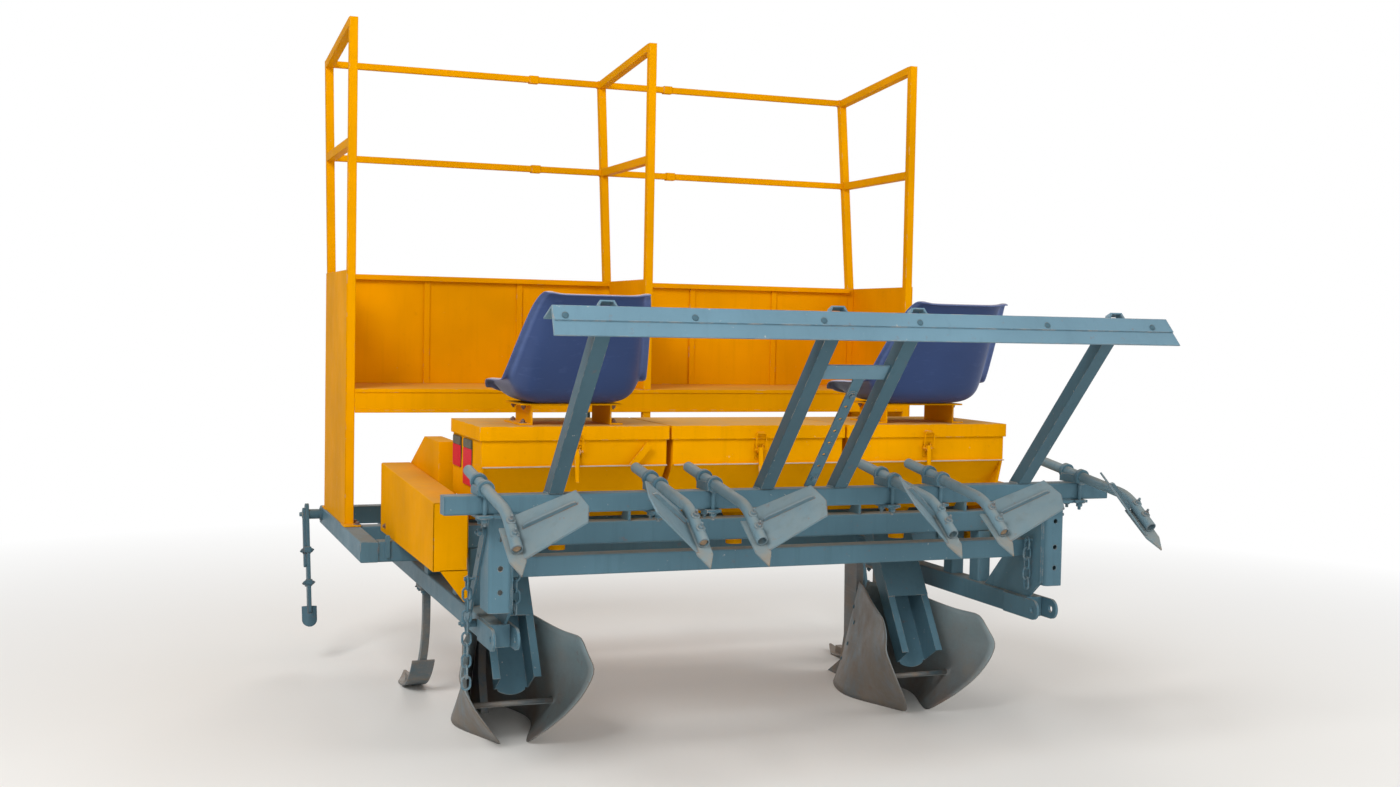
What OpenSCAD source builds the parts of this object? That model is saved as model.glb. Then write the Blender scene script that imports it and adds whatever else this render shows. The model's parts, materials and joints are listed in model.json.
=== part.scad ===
// Tractor-mounted sugarcane planter: a cane rack on a platform frame, seats on
// fertiliser boxes, furrow openers with seed chutes, and a rear bar of coverers.
// X is across the machine, Y is the way it travels, Z is up from the ground.
// Distances called "behind" are measured back from the rack's rear posts.

/* [Platform] */
// Height of the platform's top above the ground
platform_top = 716; // [690:1:760]
// Overall width of the platform frame
platform_w = 2744; // [2720:1:2860]
// How far the platform reaches behind the rack's rear posts
platform_behind = 512; // [480:1:540]
// How far the platform reaches ahead of the rack's rear posts
platform_ahead = 762; // [720:1:820]
// Width of a platform tube
platform_tube_w = 75; // [60:1:80]
// Height of a platform tube
platform_tube_h = 84; // [70:1:96]
// Corner radius of the square tubes
tube_r = 8; // [6:0.5:10]
// Wall of the square tubes
tube_t = 5; // [3:0.5:6]
// Height of the packing blocks under the platform
packing_h = 56; // [40:1:70]

/* [Side beams] */
// Distance between the centres of the two side beams
beam_span = 2124; // [2090:1:2150]
// Width of a side beam
beam_w = 74; // [60:1:80]
// Height of a side beam
beam_h = 80; // [70:1:90]
// How far the side beams reach behind the rack's rear posts
beam_behind = 1600; // [1580:1:1620]
// Distance of the fork's pin hole behind the side beams' ends
fork_reach = 62; // [50:1:90]
// Diameter of the fork's pin hole
fork_hole_d = 26; // [16:0.5:34]
// Thickness of a fork plate
fork_t = 10; // [6:1:14]
// Height of a fork plate
fork_h = 76; // [60:1:78]
// Length of fork plate that lies along the beam
fork_lap = 140; // [80:1:200]

/* [Hitch] */
// Distance between the lower lugs' centres
lug_span = 824; // [700:1:900]
// Diameter of the lower link pins
hitch_pin_d = 28; // [20:0.5:36]
// Length of a lower link pin outside its lug
hitch_pin_out = 70; // [40:1:90]
// Diameter of the top link hole
top_link_d = 25.5; // [19:0.1:32]
// Height of the top link hole above the lower link pins
mast_h = 610; // [480:1:690]
// Distance of the lower link pins ahead of the platform
lug_ahead = 70; // [60:1:110]
// Radius of a lug's round end
lug_r = 40; // [32:1:48]
// Thickness of the lug and mast plates
lug_t = 14; // [10:1:18]
// Gap between the two mast plates
mast_gap = 52; // [44:1:60]

/* [Cane rack] */
// Distance between the centres of the outer rack posts
rack_w = 2688; // [2640:1:2700]
// Distance between the rear and front rack posts
rack_depth = 635; // [560:1:660]
// Width of a rack post
post_w = 36; // [30:1:44]
// Height of the rear posts' tops above the ground
rack_top = 2888; // [2700:1:2950]
// Height of the front posts' tops above the ground
rack_front_top = 2822; // [2660:1:2870]
// How far the front posts lean out at their tops
rack_lean = 144; // [60:1:150]
// Height of the middle rails above the ground
rack_mid = 2361; // [2200:1:2450]
// Width of the rails
rail_w = 30; // [22:1:34]
// Height of the side panels' top edge above the ground
panel_top = 1816; // [1700:1:1900]
// Height of the rack's floor above the ground
floor_top = 1308; // [1260:1:1400]
// Height of the floor beams
floor_beam_h = 92; // [60:1:100]
// Thickness of the yellow sheet metal
sheet_t = 3; // [2:0.5:5]
// Distance of a rail sleeve from the middle post
sleeve_at = 330; // [200:1:500]

/* [Fertiliser boxes] */
// Width of a lid
lid_w = 714; // [660:1:720]
// Depth of a lid from rear to front
lid_depth = 495; // [450:1:520]
// Distance of the lids' rear edge behind the rack's rear posts
lid_behind = 1342; // [1320:1:1380]
// Distance between the centres of neighbouring boxes
box_pitch = 724; // [722:1:760]
// Height of the lids' tops above the ground
lid_top = 1233; // [1200:1:1280]
// Height of a lid's skirt
lid_skirt = 51; // [40:1:60]
// Gap between a lid's skirt and its box
lid_gap = 5; // [5:0.5:8]
// Height of the box's fold line above the ground
box_fold = 1089; // [1060:1:1110]
// Height of the hopper's bottom above the ground
box_bottom = 880; // [876:1:930]
// Width of the hopper's bottom
box_bottom_w = 120; // [90:1:160]
// Diameter of the hinge pins
hinge_pin_d = 10; // [8:0.5:14]
// Radial running clearance at the hinge pins
hinge_play = 0.06; // [0.02:0.01:0.1]
// Diameter of a spout
spout_d = 64; // [40:1:80]
// Length of a spout below its funnel
spout_len = 130; // [110:1:160]
// Diameter of the metering shaft
shaft_d = 22; // [16:1:30]
// Distance of the metering shaft below the hopper's bottom
shaft_drop = 72; // [60:1:80]

/* [Seats] */
// Half the seat's width at its pan
seat_half_w = 262; // [230:1:280]
// Height of the seat's back above its pan
seat_back_h = 392; // [330:1:420]
// How far the back leans to the rear
seat_recline = 238; // [180:1:260]
// Depth of the seat's pan
seat_pan = 440; // [400:1:470]
// Depth of the seat's shell at its elbow
seat_deep = 88; // [70:1:96]
// Thickness of the moulded shell
seat_t = 6; // [4:0.5:8]
// Height of the seat's bracket on its lid
bracket_h = 78; // [60:1:90]
// Width of a seat's bracket between its risers
bracket_w = 300; // [240:1:340]

/* [Rear frame] */
// Height of the coverer toolbar's bottom above the ground
toolbar_bottom = 970; // [940:1:1000]
// Width and height of the coverer toolbar
toolbar_w = 65; // [55:1:75]
// Length of the coverer toolbar
toolbar_len = 2568; // [2500:1:2620]
// Distance of the toolbar's centre behind the side beams' ends
toolbar_reach = 111; // [100:1:130]
// Width of a rear upright
upright_w = 78; // [66:1:84]
// Depth of a rear upright
upright_d = 140; // [120:1:150]
// Wall of a rear upright
upright_t = 8; // [5:1:12]
// Thickness of the plate between an upright and the toolbar
saddle_t = 12; // [8:1:16]
// Width and height of the lower rear beam
lower_beam_w = 72; // [60:1:80]
// Height of the lower rear beam's centre above the ground
lower_beam_z = 765; // [740:1:790]
// Width of the beams under the boxes
box_beam_w = 74; // [60:1:80]
// Height of the beams under the boxes
box_beam_h = 85; // [70:1:90]

/* [Coverers] */
// Diameter of a coverer's rod
rod_d = 38; // [30:1:42]
// Slope of the rod's straight part
rod_slope = 8; // [5:0.5:10]
// Slope of the rod's lower end
rod_end_slope = 35; // [30:1:45]
// Length of the rod's straight part
rod_straight = 500; // [440:1:520]
// Length of the rod's lower end
rod_end = 120; // [100:1:150]
// Radius of the rod's bend
rod_bend_r = 220; // [150:1:260]
// Width of a coverer's wing
wing_w = 235; // [180:1:260]
// How far a coverer's wing is folded up
wing_fold = 25; // [10:1:35]
// Thickness of the coverer plates
blade_t = 7; // [5:1:10]

/* [Leveller bar] */
// Length of the leveller bar
leveller_len = 2186; // [2100:1:2300]
// Leg of the leveller's angle iron
leveller_leg = 94; // [80:1:105]
// Thickness of the leveller's angle iron
leveller_t = 6; // [5:0.5:10]
// How far the angle iron is tilted
leveller_tilt = 22; // [10:1:30]
// Distance of the leveller's edge behind the toolbar's centre
leveller_reach = 597; // [550:1:630]
// Height of the leveller's edge above the ground
leveller_z = 1657; // [1600:1:1700]
// Width of a leveller post
leveller_post_w = 50; // [40:1:56]
// Wall of a leveller post
leveller_post_t = 4; // [3:0.5:6]

/* [Furrow openers] */
// Distance of a furrow opener from the machine's middle
row_x = 867; // [850:1:880]
// Thickness of an opener's shank
shank_t = 32; // [24:1:40]
// Height of an opener's wings
wing_h = 470; // [420:1:490]
// Thickness of an opener's wing
wing_t = 8; // [6:1:10]
// Spread of a wing at its top
wing_spread = 250; // [200:1:270]
// Bulge of a wing near the ground
wing_bulge = 140; // [100:1:150]
// Width of a seed chute inside
chute_w = 128; // [100:1:140]
// Depth of a seed chute inside
chute_d = 112; // [90:1:120]
// How far a seed chute leans forward
chute_lean = 33; // [28:1:36]
// Length of a seed chute
chute_len = 880; // [820:1:900]
// Thickness of a seed chute's wall
chute_t = 4; // [3:0.5:6]

/* [Tines and markers] */
// Distance of a front tine from the machine's middle
tine_x = 1062; // [1056:1:1068]
// Outer radius of a front tine
tine_r = 380; // [340:1:400]
// Thickness of a front tine
tine_t = 30; // [22:1:36]
// Distance of a row marker outside the platform
marker_out = 68; // [60:1:90]
// Height of a row marker's foot above the ground
marker_low = 178; // [150:1:220]

/* [Chain guards] */
// Width of a chain guard
guard_w = 126; // [110:1:130]
// Length of a chain guard
guard_len = 1130; // [1050:1:1140]
// Height of a chain guard at its rear end
guard_h = 245; // [220:1:255]
// Distance of a chain guard's rear end behind the rack's rear posts
guard_behind = 1306; // [1290:1:1320]

/* [Hidden] */
$fn = 32;

yellow = [0.85, 0.61, 0.02];
frame_blue = [0.33, 0.44, 0.48];
light_blue = [0.47, 0.65, 0.74];
bare_steel = [0.43, 0.41, 0.39];
seat_blue = [0.24, 0.27, 0.49];
reflector_red = [0.84, 0.12, 0.24];

// Small fixed sizes
edge_r = 3;
weld = 1;
seat_gap = 0.3;

// Levels of the frame
platform_z = platform_top - platform_tube_h / 2;
platform_low = platform_top - platform_tube_h;
beam_top = platform_low - packing_h;
beam_z = beam_top - beam_h / 2;
beam_low = beam_top - beam_h;
beam_x = beam_span / 2;
platform_x = platform_w / 2;
platform_in = platform_x - platform_tube_w;
platform_cross_y = [-platform_behind + platform_tube_w / 2, 0, platform_ahead - platform_tube_w / 2];

// Rack lines
rack_x = rack_w / 2;
rack_xs = [-rack_x, 0, rack_x];
half_post = post_w / 2;
rack_lean_slope = rack_lean / (rack_front_top - panel_top);
function lean_y(z) = rack_depth + (z - panel_top) * rack_lean_slope;
floor_beam_top = floor_top - sheet_t;
panel_face_y = rack_depth - half_post - sheet_t;

// Hitch lines
hitch_y = platform_ahead + lug_ahead;
hitch_z = beam_z;
top_link_z = hitch_z + mast_h;

// Box lines
box_xs = [-box_pitch, 0, box_pitch];
lid_rear = -lid_behind;
lid_front = lid_rear + lid_depth;
skirt_low = lid_top - lid_skirt;
box_inset = sheet_t + lid_gap;
box_w = lid_w - 2 * box_inset;
box_rear = lid_rear + box_inset;
box_front = lid_front - box_inset;
box_mid_y = (box_rear + box_front) / 2;
rim_top = lid_top - sheet_t - seat_gap;
hinge_ahead = 14;
hinge_drop = 4;
hinge_y = lid_front + hinge_ahead;
hinge_z = skirt_low - hinge_drop;
box_beam_drop = 10;
box_beam_at = 105;
box_beam_top = box_bottom - box_beam_drop;
box_beam_z = box_beam_top - box_beam_h / 2;
box_beam_ys = [box_mid_y - box_beam_at, box_mid_y + box_beam_at];

// Rear frame lines
fork_y = -beam_behind - fork_reach;
toolbar_y = -beam_behind - toolbar_reach;
toolbar_z = toolbar_bottom + toolbar_w / 2;
toolbar_top = toolbar_bottom + toolbar_w;
upright_lap = 12;
upright_ahead = 49;
upright_over = 56;
upright_x = beam_x + beam_w / 2 - upright_lap;
upright_in = upright_x - upright_w / 2;
upright_y = toolbar_y + toolbar_w / 2 + upright_ahead;
upright_low = beam_top + upright_over;
upright_top = toolbar_bottom - saddle_t;
lower_beam_lap = 16;
lower_beam_arm = 70;
lower_beam_y = upright_y + upright_d / 2 + lower_beam_w / 2 - lower_beam_lap;
lower_beam_half = upright_in - lower_beam_arm;
gusset_t = 10;
gusset_len = 320;
gusset_clear = 20;
gusset_inset = 20;
gusset_drop = 80;
gusset_front = min(gusset_len - beam_behind, box_beam_ys[0] - box_beam_w / 2 - gusset_clear);

// Coverer lines, with a coverer's place and the side its wing points to
coverer_clear = 29;
coverer_outer = upright_x + upright_w / 2 + coverer_clear;
coverer_inner = 350;
coverer_mid = 550;
coverers = [[-coverer_outer, 1], [-coverer_mid, -1], [-coverer_inner, 1],
    [coverer_inner, -1], [coverer_mid, 1], [coverer_outer, -1]];
coverer_place = 0;
coverer_side = 1;
rod_ahead = 212;
rod_over = 41;
rod_front = [toolbar_y + rod_ahead, toolbar_top + rod_d / 2 + rod_over];
rod_turn = rod_front - rod_straight * [cos(rod_slope), sin(rod_slope)];
rod_bend_end = rod_turn
    - rod_bend_r * [sin(rod_end_slope) - sin(rod_slope), cos(rod_slope) - cos(rod_end_slope)];
rod_tip = rod_bend_end - rod_end * [cos(rod_end_slope), sin(rod_end_slope)];
rod_over_bar = rod_front[1] - (rod_front[0] - toolbar_y) * tan(rod_slope);

// Leveller lines
leveller_y = toolbar_y - leveller_reach;
leveller_xs = [-912, -144, 144, 912];
leg_down = [-sin(leveller_tilt), -cos(leveller_tilt)];
leg_back = [cos(leveller_tilt), -sin(leveller_tilt)];
leveller_edge = [leveller_y, leveller_z];
leveller_seat = leveller_edge + leveller_t * leg_down;
post_foot = [toolbar_y, toolbar_top];
post_corner = leveller_seat + leveller_t * leg_back;
post_head = leveller_seat + leveller_leg / 2 * leg_back;
post_run = post_head - post_foot;
post_along = post_run / norm(post_run);
post_across = [post_along[1], -post_along[0]];
post_angle = atan2(-post_along[0], post_along[1]);

// Opener lines
nose_y = -340;
nose_slope = 0.43;
wing_rear_y = -1245;
wing_rear_round = 190;
wing_ref_z = 330;
function wing_front(z) = nose_y - nose_slope * z;
function wing_back(z) = wing_rear_y + wing_rear_round * pow((z - 0.6 * wing_h) / (0.6 * wing_h), 2);
function wing_share(y, z) = (wing_front(z) - y) / (wing_front(z) - wing_back(z));
function wing_x(t, z) = let (h = min(1, z / wing_ref_z))
    shank_t / 2 + (1 - h) * wing_bulge * sin(144 * pow(t, 0.8)) + h * wing_spread * pow(t, 1.1);
chute_foot = [-1040, 235];

// The part's middle along Y, so that the frame's origin is under its centre
rear_end = leveller_y - leveller_leg * sin(leveller_tilt);
front_end = hitch_y + lug_r;
mid_y = (rear_end + front_end) / 2;

// Helpers

module at_origin() translate([0, -mid_y, 0]) children();

module both_sides() {
    children();
    mirror([1, 0, 0]) children();
}

module rounded_rect(w, h, r) {
    square([w - 2 * r, h], center = true);
    square([w, h - 2 * r], center = true);
    for (sx = [-1, 1], sy = [-1, 1])
        translate([sx * (w / 2 - r), sy * (h / 2 - r)]) circle(r);
}

module tube_section(w, h) difference() {
    rounded_rect(w, h, tube_r);
    rounded_rect(w - 2 * tube_t, h - 2 * tube_t, tube_r - tube_t + 1);
}

// Solid bars along each axis
module bar_x(x0, x1, y, z, depth, height, r = edge_r)
    translate([x0, y, z]) rotate([90, 0, 90]) linear_extrude(x1 - x0) rounded_rect(depth, height, r);

module bar_y(x, y0, y1, z, width, height, r = edge_r)
    translate([x, y1, z]) rotate([90, 0, 0]) linear_extrude(y1 - y0) rounded_rect(width, height, r);

module bar_z(x, y, z0, z1, width, depth, r = edge_r)
    translate([x, y, z0]) linear_extrude(z1 - z0) rounded_rect(width, depth, r);

// Hollow tubes along each axis, open at their ends
module tube_x(x0, x1, y, z, depth, height)
    translate([x0, y, z]) rotate([90, 0, 90]) linear_extrude(x1 - x0) tube_section(depth, height);

module tube_y(x, y0, y1, z, width, height)
    translate([x, y1, z]) rotate([90, 0, 0]) linear_extrude(y1 - y0) tube_section(width, height);

module tube_z(x, y, z0, z1, width, depth)
    translate([x, y, z0]) linear_extrude(z1 - z0) tube_section(width, depth);

// Plates cut from a flat outline: across X, across Y, or a block from two corners
module plate_yz(x0, x1) translate([x0, 0, 0]) rotate([90, 0, 90]) linear_extrude(x1 - x0) children();

module plate_xz(y0, y1) translate([0, y1, 0]) rotate([90, 0, 0]) linear_extrude(y1 - y0) children();

module block(low, high) translate(low) cube(high - low);

// Where the line through p along d meets the line through q along e
function meet(p, d, q, e) = p + d * (cross(q - p, e) / cross(d, e));

// Closed sheet between two grids of points, rows by columns
module sheet_solid(front, back) {
    rows = len(front);
    cols = len(front[0]);
    count = rows * cols;
    function at(i, j, side) = side * count + i * cols + j;
    points = [for (grid = [front, back], row = grid, p = row) p];
    face_a = [for (i = [0:rows - 2], j = [0:cols - 2], k = [0, 1])
        k == 0 ? [at(i, j, 0), at(i, j + 1, 0), at(i + 1, j + 1, 0)]
               : [at(i, j, 0), at(i + 1, j + 1, 0), at(i + 1, j, 0)]];
    face_b = [for (i = [0:rows - 2], j = [0:cols - 2], k = [0, 1])
        k == 0 ? [at(i, j, 1), at(i + 1, j + 1, 1), at(i, j + 1, 1)]
               : [at(i, j, 1), at(i + 1, j, 1), at(i + 1, j + 1, 1)]];
    ends = [for (i = [0:rows - 2], k = [0, 1], edge = [0, cols - 1])
        let (flip = (edge == 0), a = at(i, edge, 0), b = at(i + 1, edge, 0),
             c = at(i + 1, edge, 1), d = at(i, edge, 1))
        k == 0 ? (flip ? [a, b, c] : [a, c, b]) : (flip ? [a, c, d] : [a, d, c])];
    sides = [for (j = [0:cols - 2], k = [0, 1], edge = [0, rows - 1])
        let (flip = (edge == 0), a = at(edge, j, 0), b = at(edge, j + 1, 0),
             c = at(edge, j + 1, 1), d = at(edge, j, 1))
        k == 0 ? (flip ? [a, c, b] : [a, b, c]) : (flip ? [a, d, c] : [a, c, d])];
    polyhedron(points, concat(face_a, face_b, ends, sides));
}

// Frame

module side_beams() color(frame_blue) at_origin()
    both_sides() tube_y(beam_x, -beam_behind, platform_ahead, beam_z, beam_w, beam_h);

module fork_ear() difference() {
    union() {
        translate([fork_y, beam_z]) circle(fork_h / 2);
        translate([fork_y, beam_z - fork_h / 2]) square([fork_reach + fork_lap, fork_h]);
    }
    translate([fork_y, beam_z]) circle(fork_hole_d / 2);
}

module fork_plates() color(frame_blue) at_origin() both_sides() {
    plate_yz(beam_x + beam_w / 2, beam_x + beam_w / 2 + fork_t) fork_ear();
    plate_yz(beam_x - beam_w / 2 - fork_t, beam_x - beam_w / 2) fork_ear();
}

module platform_sides() color(frame_blue) at_origin() both_sides()
    tube_y(platform_x - platform_tube_w / 2, -platform_behind, platform_ahead, platform_z,
        platform_tube_w, platform_tube_h);

module platform_crossbeams() color(frame_blue) at_origin()
    for (y = platform_cross_y)
        tube_x(-platform_in, platform_in, y, platform_z, platform_tube_w, platform_tube_h);

module packing_blocks() color(frame_blue) at_origin() both_sides()
    for (y = platform_cross_y)
        bar_z(beam_x, y, beam_top, platform_low, beam_w, platform_tube_w - 2 * edge_r);

// Three-point hitch

module hitch_lug() {
    translate([hitch_y, hitch_z]) circle(lug_r);
    polygon([[hitch_y, hitch_z - lug_r], [hitch_y + lug_r, hitch_z],
        [platform_ahead + edge_r, platform_top], [platform_ahead, platform_top],
        [platform_ahead, hitch_z - lug_r]]);
}

// Each lug carries a welded pin that points outwards
module hitch_lugs() color(frame_blue) at_origin() both_sides() {
    face = lug_span / 2 + lug_t / 2;
    plate_yz(face - lug_t, face) hitch_lug();
    translate([face, hitch_y, hitch_z]) rotate([0, 90, 0]) cylinder(d = hitch_pin_d, h = hitch_pin_out);
}

module mast_outline() difference() {
    union() {
        translate([hitch_y, top_link_z]) circle(lug_r);
        polygon([[platform_ahead, platform_low], [platform_ahead + lug_ahead, platform_low],
            [hitch_y + lug_r, top_link_z], [hitch_y - lug_r, top_link_z], [platform_ahead, platform_top]]);
    }
    translate([hitch_y, top_link_z]) circle(top_link_d / 2);
}

module hitch_mast() color(frame_blue) at_origin() {
    both_sides() plate_yz(mast_gap / 2, mast_gap / 2 + lug_t) mast_outline();
    block([-mast_gap / 2, platform_ahead, platform_low],
        [mast_gap / 2, platform_ahead + lug_t, platform_top]);
}

// Flat bars that tie the mast's top back to the platform's middle beam
module mast_braces() color(frame_blue) at_origin() both_sides() {
    brace_w = 44;
    brace_t = 10;
    brace_inset = 12;
    foot_edge = 10;
    foot_len = 70;
    x = mast_gap / 2 + lug_t;
    foot = platform_tube_w / 2 - foot_edge;
    top = [hitch_y - brace_inset, top_link_z - lug_r - brace_w];
    plate_yz(x, x + brace_t)
        polygon([[foot, platform_top], [foot - foot_len, platform_top],
            [top[0], top[1] + brace_w], [top[0], top[1]]]);
}

// Cane rack

// The short leg carries the floor's rear beam on the platform
module rack_rear_posts() color(yellow) at_origin() {
    for (x = rack_xs)
        bar_z(x, 0, x == 0 ? floor_top : platform_top, rack_top, post_w, post_w);
    bar_z(0, 0, platform_top, floor_beam_top - floor_beam_h, post_w, post_w);
}

module rack_panel_posts() color(yellow) at_origin()
    for (x = rack_xs)
        bar_z(x, rack_depth, x == 0 ? floor_top : platform_top, panel_top, post_w, post_w);

module leaning_post(x) plate_yz(x - half_post, x + half_post)
    polygon([[lean_y(panel_top) - half_post, panel_top], [lean_y(panel_top) + half_post, panel_top],
        [lean_y(rack_front_top) + half_post, rack_front_top],
        [lean_y(rack_front_top) - half_post, rack_front_top]]);

module rack_front_posts() color(yellow) at_origin()
    for (x = rack_xs) leaning_post(x);

// Bar from the rear post's level to the front post's, both given at the bar's top
module cross_bar(x, rear_z, front_z) plate_yz(x - half_post, x + half_post)
    polygon([[half_post, rear_z - post_w], [lean_y(front_z - post_w) - half_post, front_z - post_w],
        [lean_y(front_z) - half_post, front_z], [half_post, rear_z]]);

module rack_cross_bars() color(yellow) at_origin()
    for (x = rack_xs) {
        cross_bar(x, rack_top, rack_front_top);
        cross_bar(x, rack_mid + half_post, rack_mid + half_post);
    }

sleeve_len = 44;
sleeve_w = rail_w + 8;

module rack_rails() color(yellow) at_origin() both_sides()
    for (z = [rack_front_top - rail_w / 2, rack_mid]) {
        bar_x(half_post, rack_x - half_post, lean_y(z), z, rail_w, rail_w);
        bar_x(sleeve_at, sleeve_at + sleeve_len, lean_y(z), z, sleeve_w, sleeve_w);
    }

module rack_side_panels() color(yellow) at_origin() both_sides()
    plate_yz(rack_x + half_post, rack_x + half_post + sheet_t)
        translate([-half_post, platform_top]) square([rack_depth + post_w, panel_top - platform_top]);

module rack_front_panel() color(yellow) at_origin() {
    wide = rack_x - half_post;
    flange = 24;
    rib_out = 8;
    rib_half = 14;
    ribs = [-900, -450, 450, 900];
    block([-wide, panel_face_y, floor_top], [wide, panel_face_y + sheet_t, panel_top]);
    block([-wide, panel_face_y - flange, panel_top - sheet_t], [wide, panel_face_y + sheet_t, panel_top]);
    block([-wide, panel_face_y - flange, panel_top - flange],
        [wide, panel_face_y - flange + sheet_t, panel_top]);
    for (x = ribs)
        block([x - rib_half, panel_face_y - rib_out, floor_top],
            [x + rib_half, panel_face_y + weld, panel_top - flange]);
}

partition_gap = 30;

module rack_partition() color(yellow) at_origin()
    block([-sheet_t / 2, half_post, floor_top], [sheet_t / 2, panel_face_y - partition_gap, panel_top]);

module rack_floor() color(yellow) at_origin()
    block([-rack_x + half_post, -half_post, floor_beam_top],
        [rack_x - half_post, rack_depth + half_post, floor_top]);

module rack_floor_beams() color(yellow) at_origin()
    for (y = [0, rack_depth])
        bar_x(-rack_x + half_post, rack_x - half_post, y, floor_beam_top - floor_beam_h / 2,
            post_w, floor_beam_h);

module rack_floor_joists() color(yellow) at_origin()
    for (x = [-rack_x / 2, 0, rack_x / 2])
        bar_y(x, half_post, rack_depth - half_post, floor_beam_top - post_w / 2, post_w, post_w);

// Fertiliser boxes

// The rear posts also carry a small arm for each chain guard
module box_posts() color(frame_blue) at_origin() both_sides() {
    post_half = beam_w / 2 - tube_r;
    arm_half = 25;
    arm_low = platform_top + 30;
    arm_h = 30;
    for (y = box_beam_ys)
        tube_z(beam_x, y, beam_top, box_beam_z - box_beam_h / 2, 2 * post_half, box_beam_w);
    block([beam_x + post_half - weld, box_beam_ys[0] - arm_half, arm_low],
        [guard_in, box_beam_ys[0] + arm_half, arm_low + arm_h]);
}

module box_beams() color(frame_blue) at_origin()
    for (y = box_beam_ys)
        tube_x(-beam_x - beam_w / 2, beam_x + beam_w / 2, y, box_beam_z, box_beam_w, box_beam_h);

// Outline of a box across its length, drawn in by the wall's thickness
module box_outline(wall, top) polygon([[box_rear + wall, top], [box_rear + wall, box_fold],
    [box_mid_y - box_bottom_w / 2 + wall, box_bottom + wall],
    [box_mid_y + box_bottom_w / 2 - wall, box_bottom + wall],
    [box_front - wall, box_fold], [box_front - wall, top]]);

hinge_at = 210;
ear_at = 40;
ear_half = 4;
ear_h = 60;
ear_drop = 3;
ear_clear = 4;
knuckle_half = 34;
leaf_t = 5;
pin_half = 48;

module hinge_ears(x) for (s = [-1, 1])
    plate_yz(x + s * ear_at - ear_half, x + s * ear_at + ear_half) difference() {
        union() {
            translate([hinge_y, hinge_z]) circle(hinge_pin_d);
            polygon([[box_front - sheet_t, hinge_z - ear_h], [box_front, hinge_z - ear_h],
                [hinge_y + hinge_pin_d, hinge_z], [hinge_y, hinge_z + hinge_pin_d],
                [lid_front + ear_clear, hinge_z - ear_drop], [box_front - sheet_t, hinge_z - ear_drop]]);
        }
        translate([hinge_y, hinge_z]) circle(hinge_pin_d / 2);
    }

box_ledge = 12;

module fertiliser_box(x) {
    difference() {
        plate_yz(x - box_w / 2, x + box_w / 2) box_outline(0, rim_top);
        plate_yz(x - box_w / 2 + sheet_t, x + box_w / 2 - sheet_t) box_outline(sheet_t, lid_top);
    }
    block([x - box_w / 2, box_rear - box_ledge, box_fold - sheet_t],
        [x + box_w / 2, box_rear + weld, box_fold]);
    for (s = [-1, 1]) hinge_ears(x + s * hinge_at);
}

module box_left() color(yellow) at_origin() fertiliser_box(box_xs[0]);

module box_middle() color(yellow) at_origin() fertiliser_box(box_xs[1]);

module box_right() color(yellow) at_origin() fertiliser_box(box_xs[2]);

// Plates that carry the hoppers on their two beams
box_saddle_at = box_pitch / 3;
box_saddle_t = 10;
box_saddle_h = (box_fold - box_beam_top) / 2;

module box_saddles() color(frame_blue) at_origin()
    for (x = box_xs, s = [-1, 1])
        translate([x + s * box_saddle_at, 0, 0]) plate_yz(-box_saddle_t / 2, box_saddle_t / 2) difference() {
            translate([box_beam_ys[0] - box_beam_w / 2, box_beam_top])
                square([box_beam_ys[1] - box_beam_ys[0] + box_beam_w, box_saddle_h]);
            box_outline(0, lid_top);
        }

funnel_h = 40;
funnel_inset = 14;

// One shaft drives the metering units from guard to guard
module box_spouts() color(yellow) at_origin() {
    for (x = box_xs)
        translate([x, box_mid_y, box_bottom]) {
            translate([0, 0, -funnel_h])
                cylinder(d1 = spout_d, d2 = box_bottom_w - funnel_inset, h = funnel_h);
            translate([0, 0, -spout_len]) cylinder(d = spout_d, h = spout_len - funnel_h + weld);
        }
    translate([-guard_in, box_mid_y, box_bottom - shaft_drop]) rotate([0, 90, 0])
        cylinder(d = shaft_d, h = 2 * guard_in);
}

module hinge_knuckle(x) difference() {
    union() {
        translate([x - knuckle_half, hinge_y, hinge_z]) rotate([0, 90, 0])
            cylinder(r = hinge_pin_d, h = 2 * knuckle_half);
        block([x - knuckle_half, lid_front - sheet_t, skirt_low],
            [x + knuckle_half, hinge_y, skirt_low + leaf_t]);
    }
    translate([x - pin_half, hinge_y, hinge_z]) rotate([0, 90, 0])
        cylinder(r = hinge_pin_d / 2 + hinge_play, h = 2 * pin_half);
}

hook_half = 14;
hook_out = 10;
hook_up = 12;
hook_h = 14;

module lid(x) {
    difference() {
        block([x - lid_w / 2, lid_rear, skirt_low], [x + lid_w / 2, lid_front, lid_top]);
        block([x - lid_w / 2 + sheet_t, lid_rear + sheet_t, skirt_low - weld],
            [x + lid_w / 2 - sheet_t, lid_front - sheet_t, lid_top - sheet_t]);
    }
    for (s = [-1, 1]) hinge_knuckle(x + s * hinge_at);
    block([x - hook_half, lid_rear - hook_out, skirt_low + hook_up],
        [x + hook_half, lid_rear + weld, skirt_low + hook_up + hook_h]);
}

module lid_left() color(yellow) at_origin() lid(box_xs[0]);

module lid_middle() color(yellow) at_origin() lid(box_xs[1]);

module lid_right() color(yellow) at_origin() lid(box_xs[2]);

module hinge_pins() color(bare_steel) at_origin()
    for (x = box_xs, s = [-1, 1])
        translate([x + s * hinge_at - pin_half, hinge_y, hinge_z]) rotate([0, 90, 0])
            cylinder(d = hinge_pin_d, h = 2 * pin_half);

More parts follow.
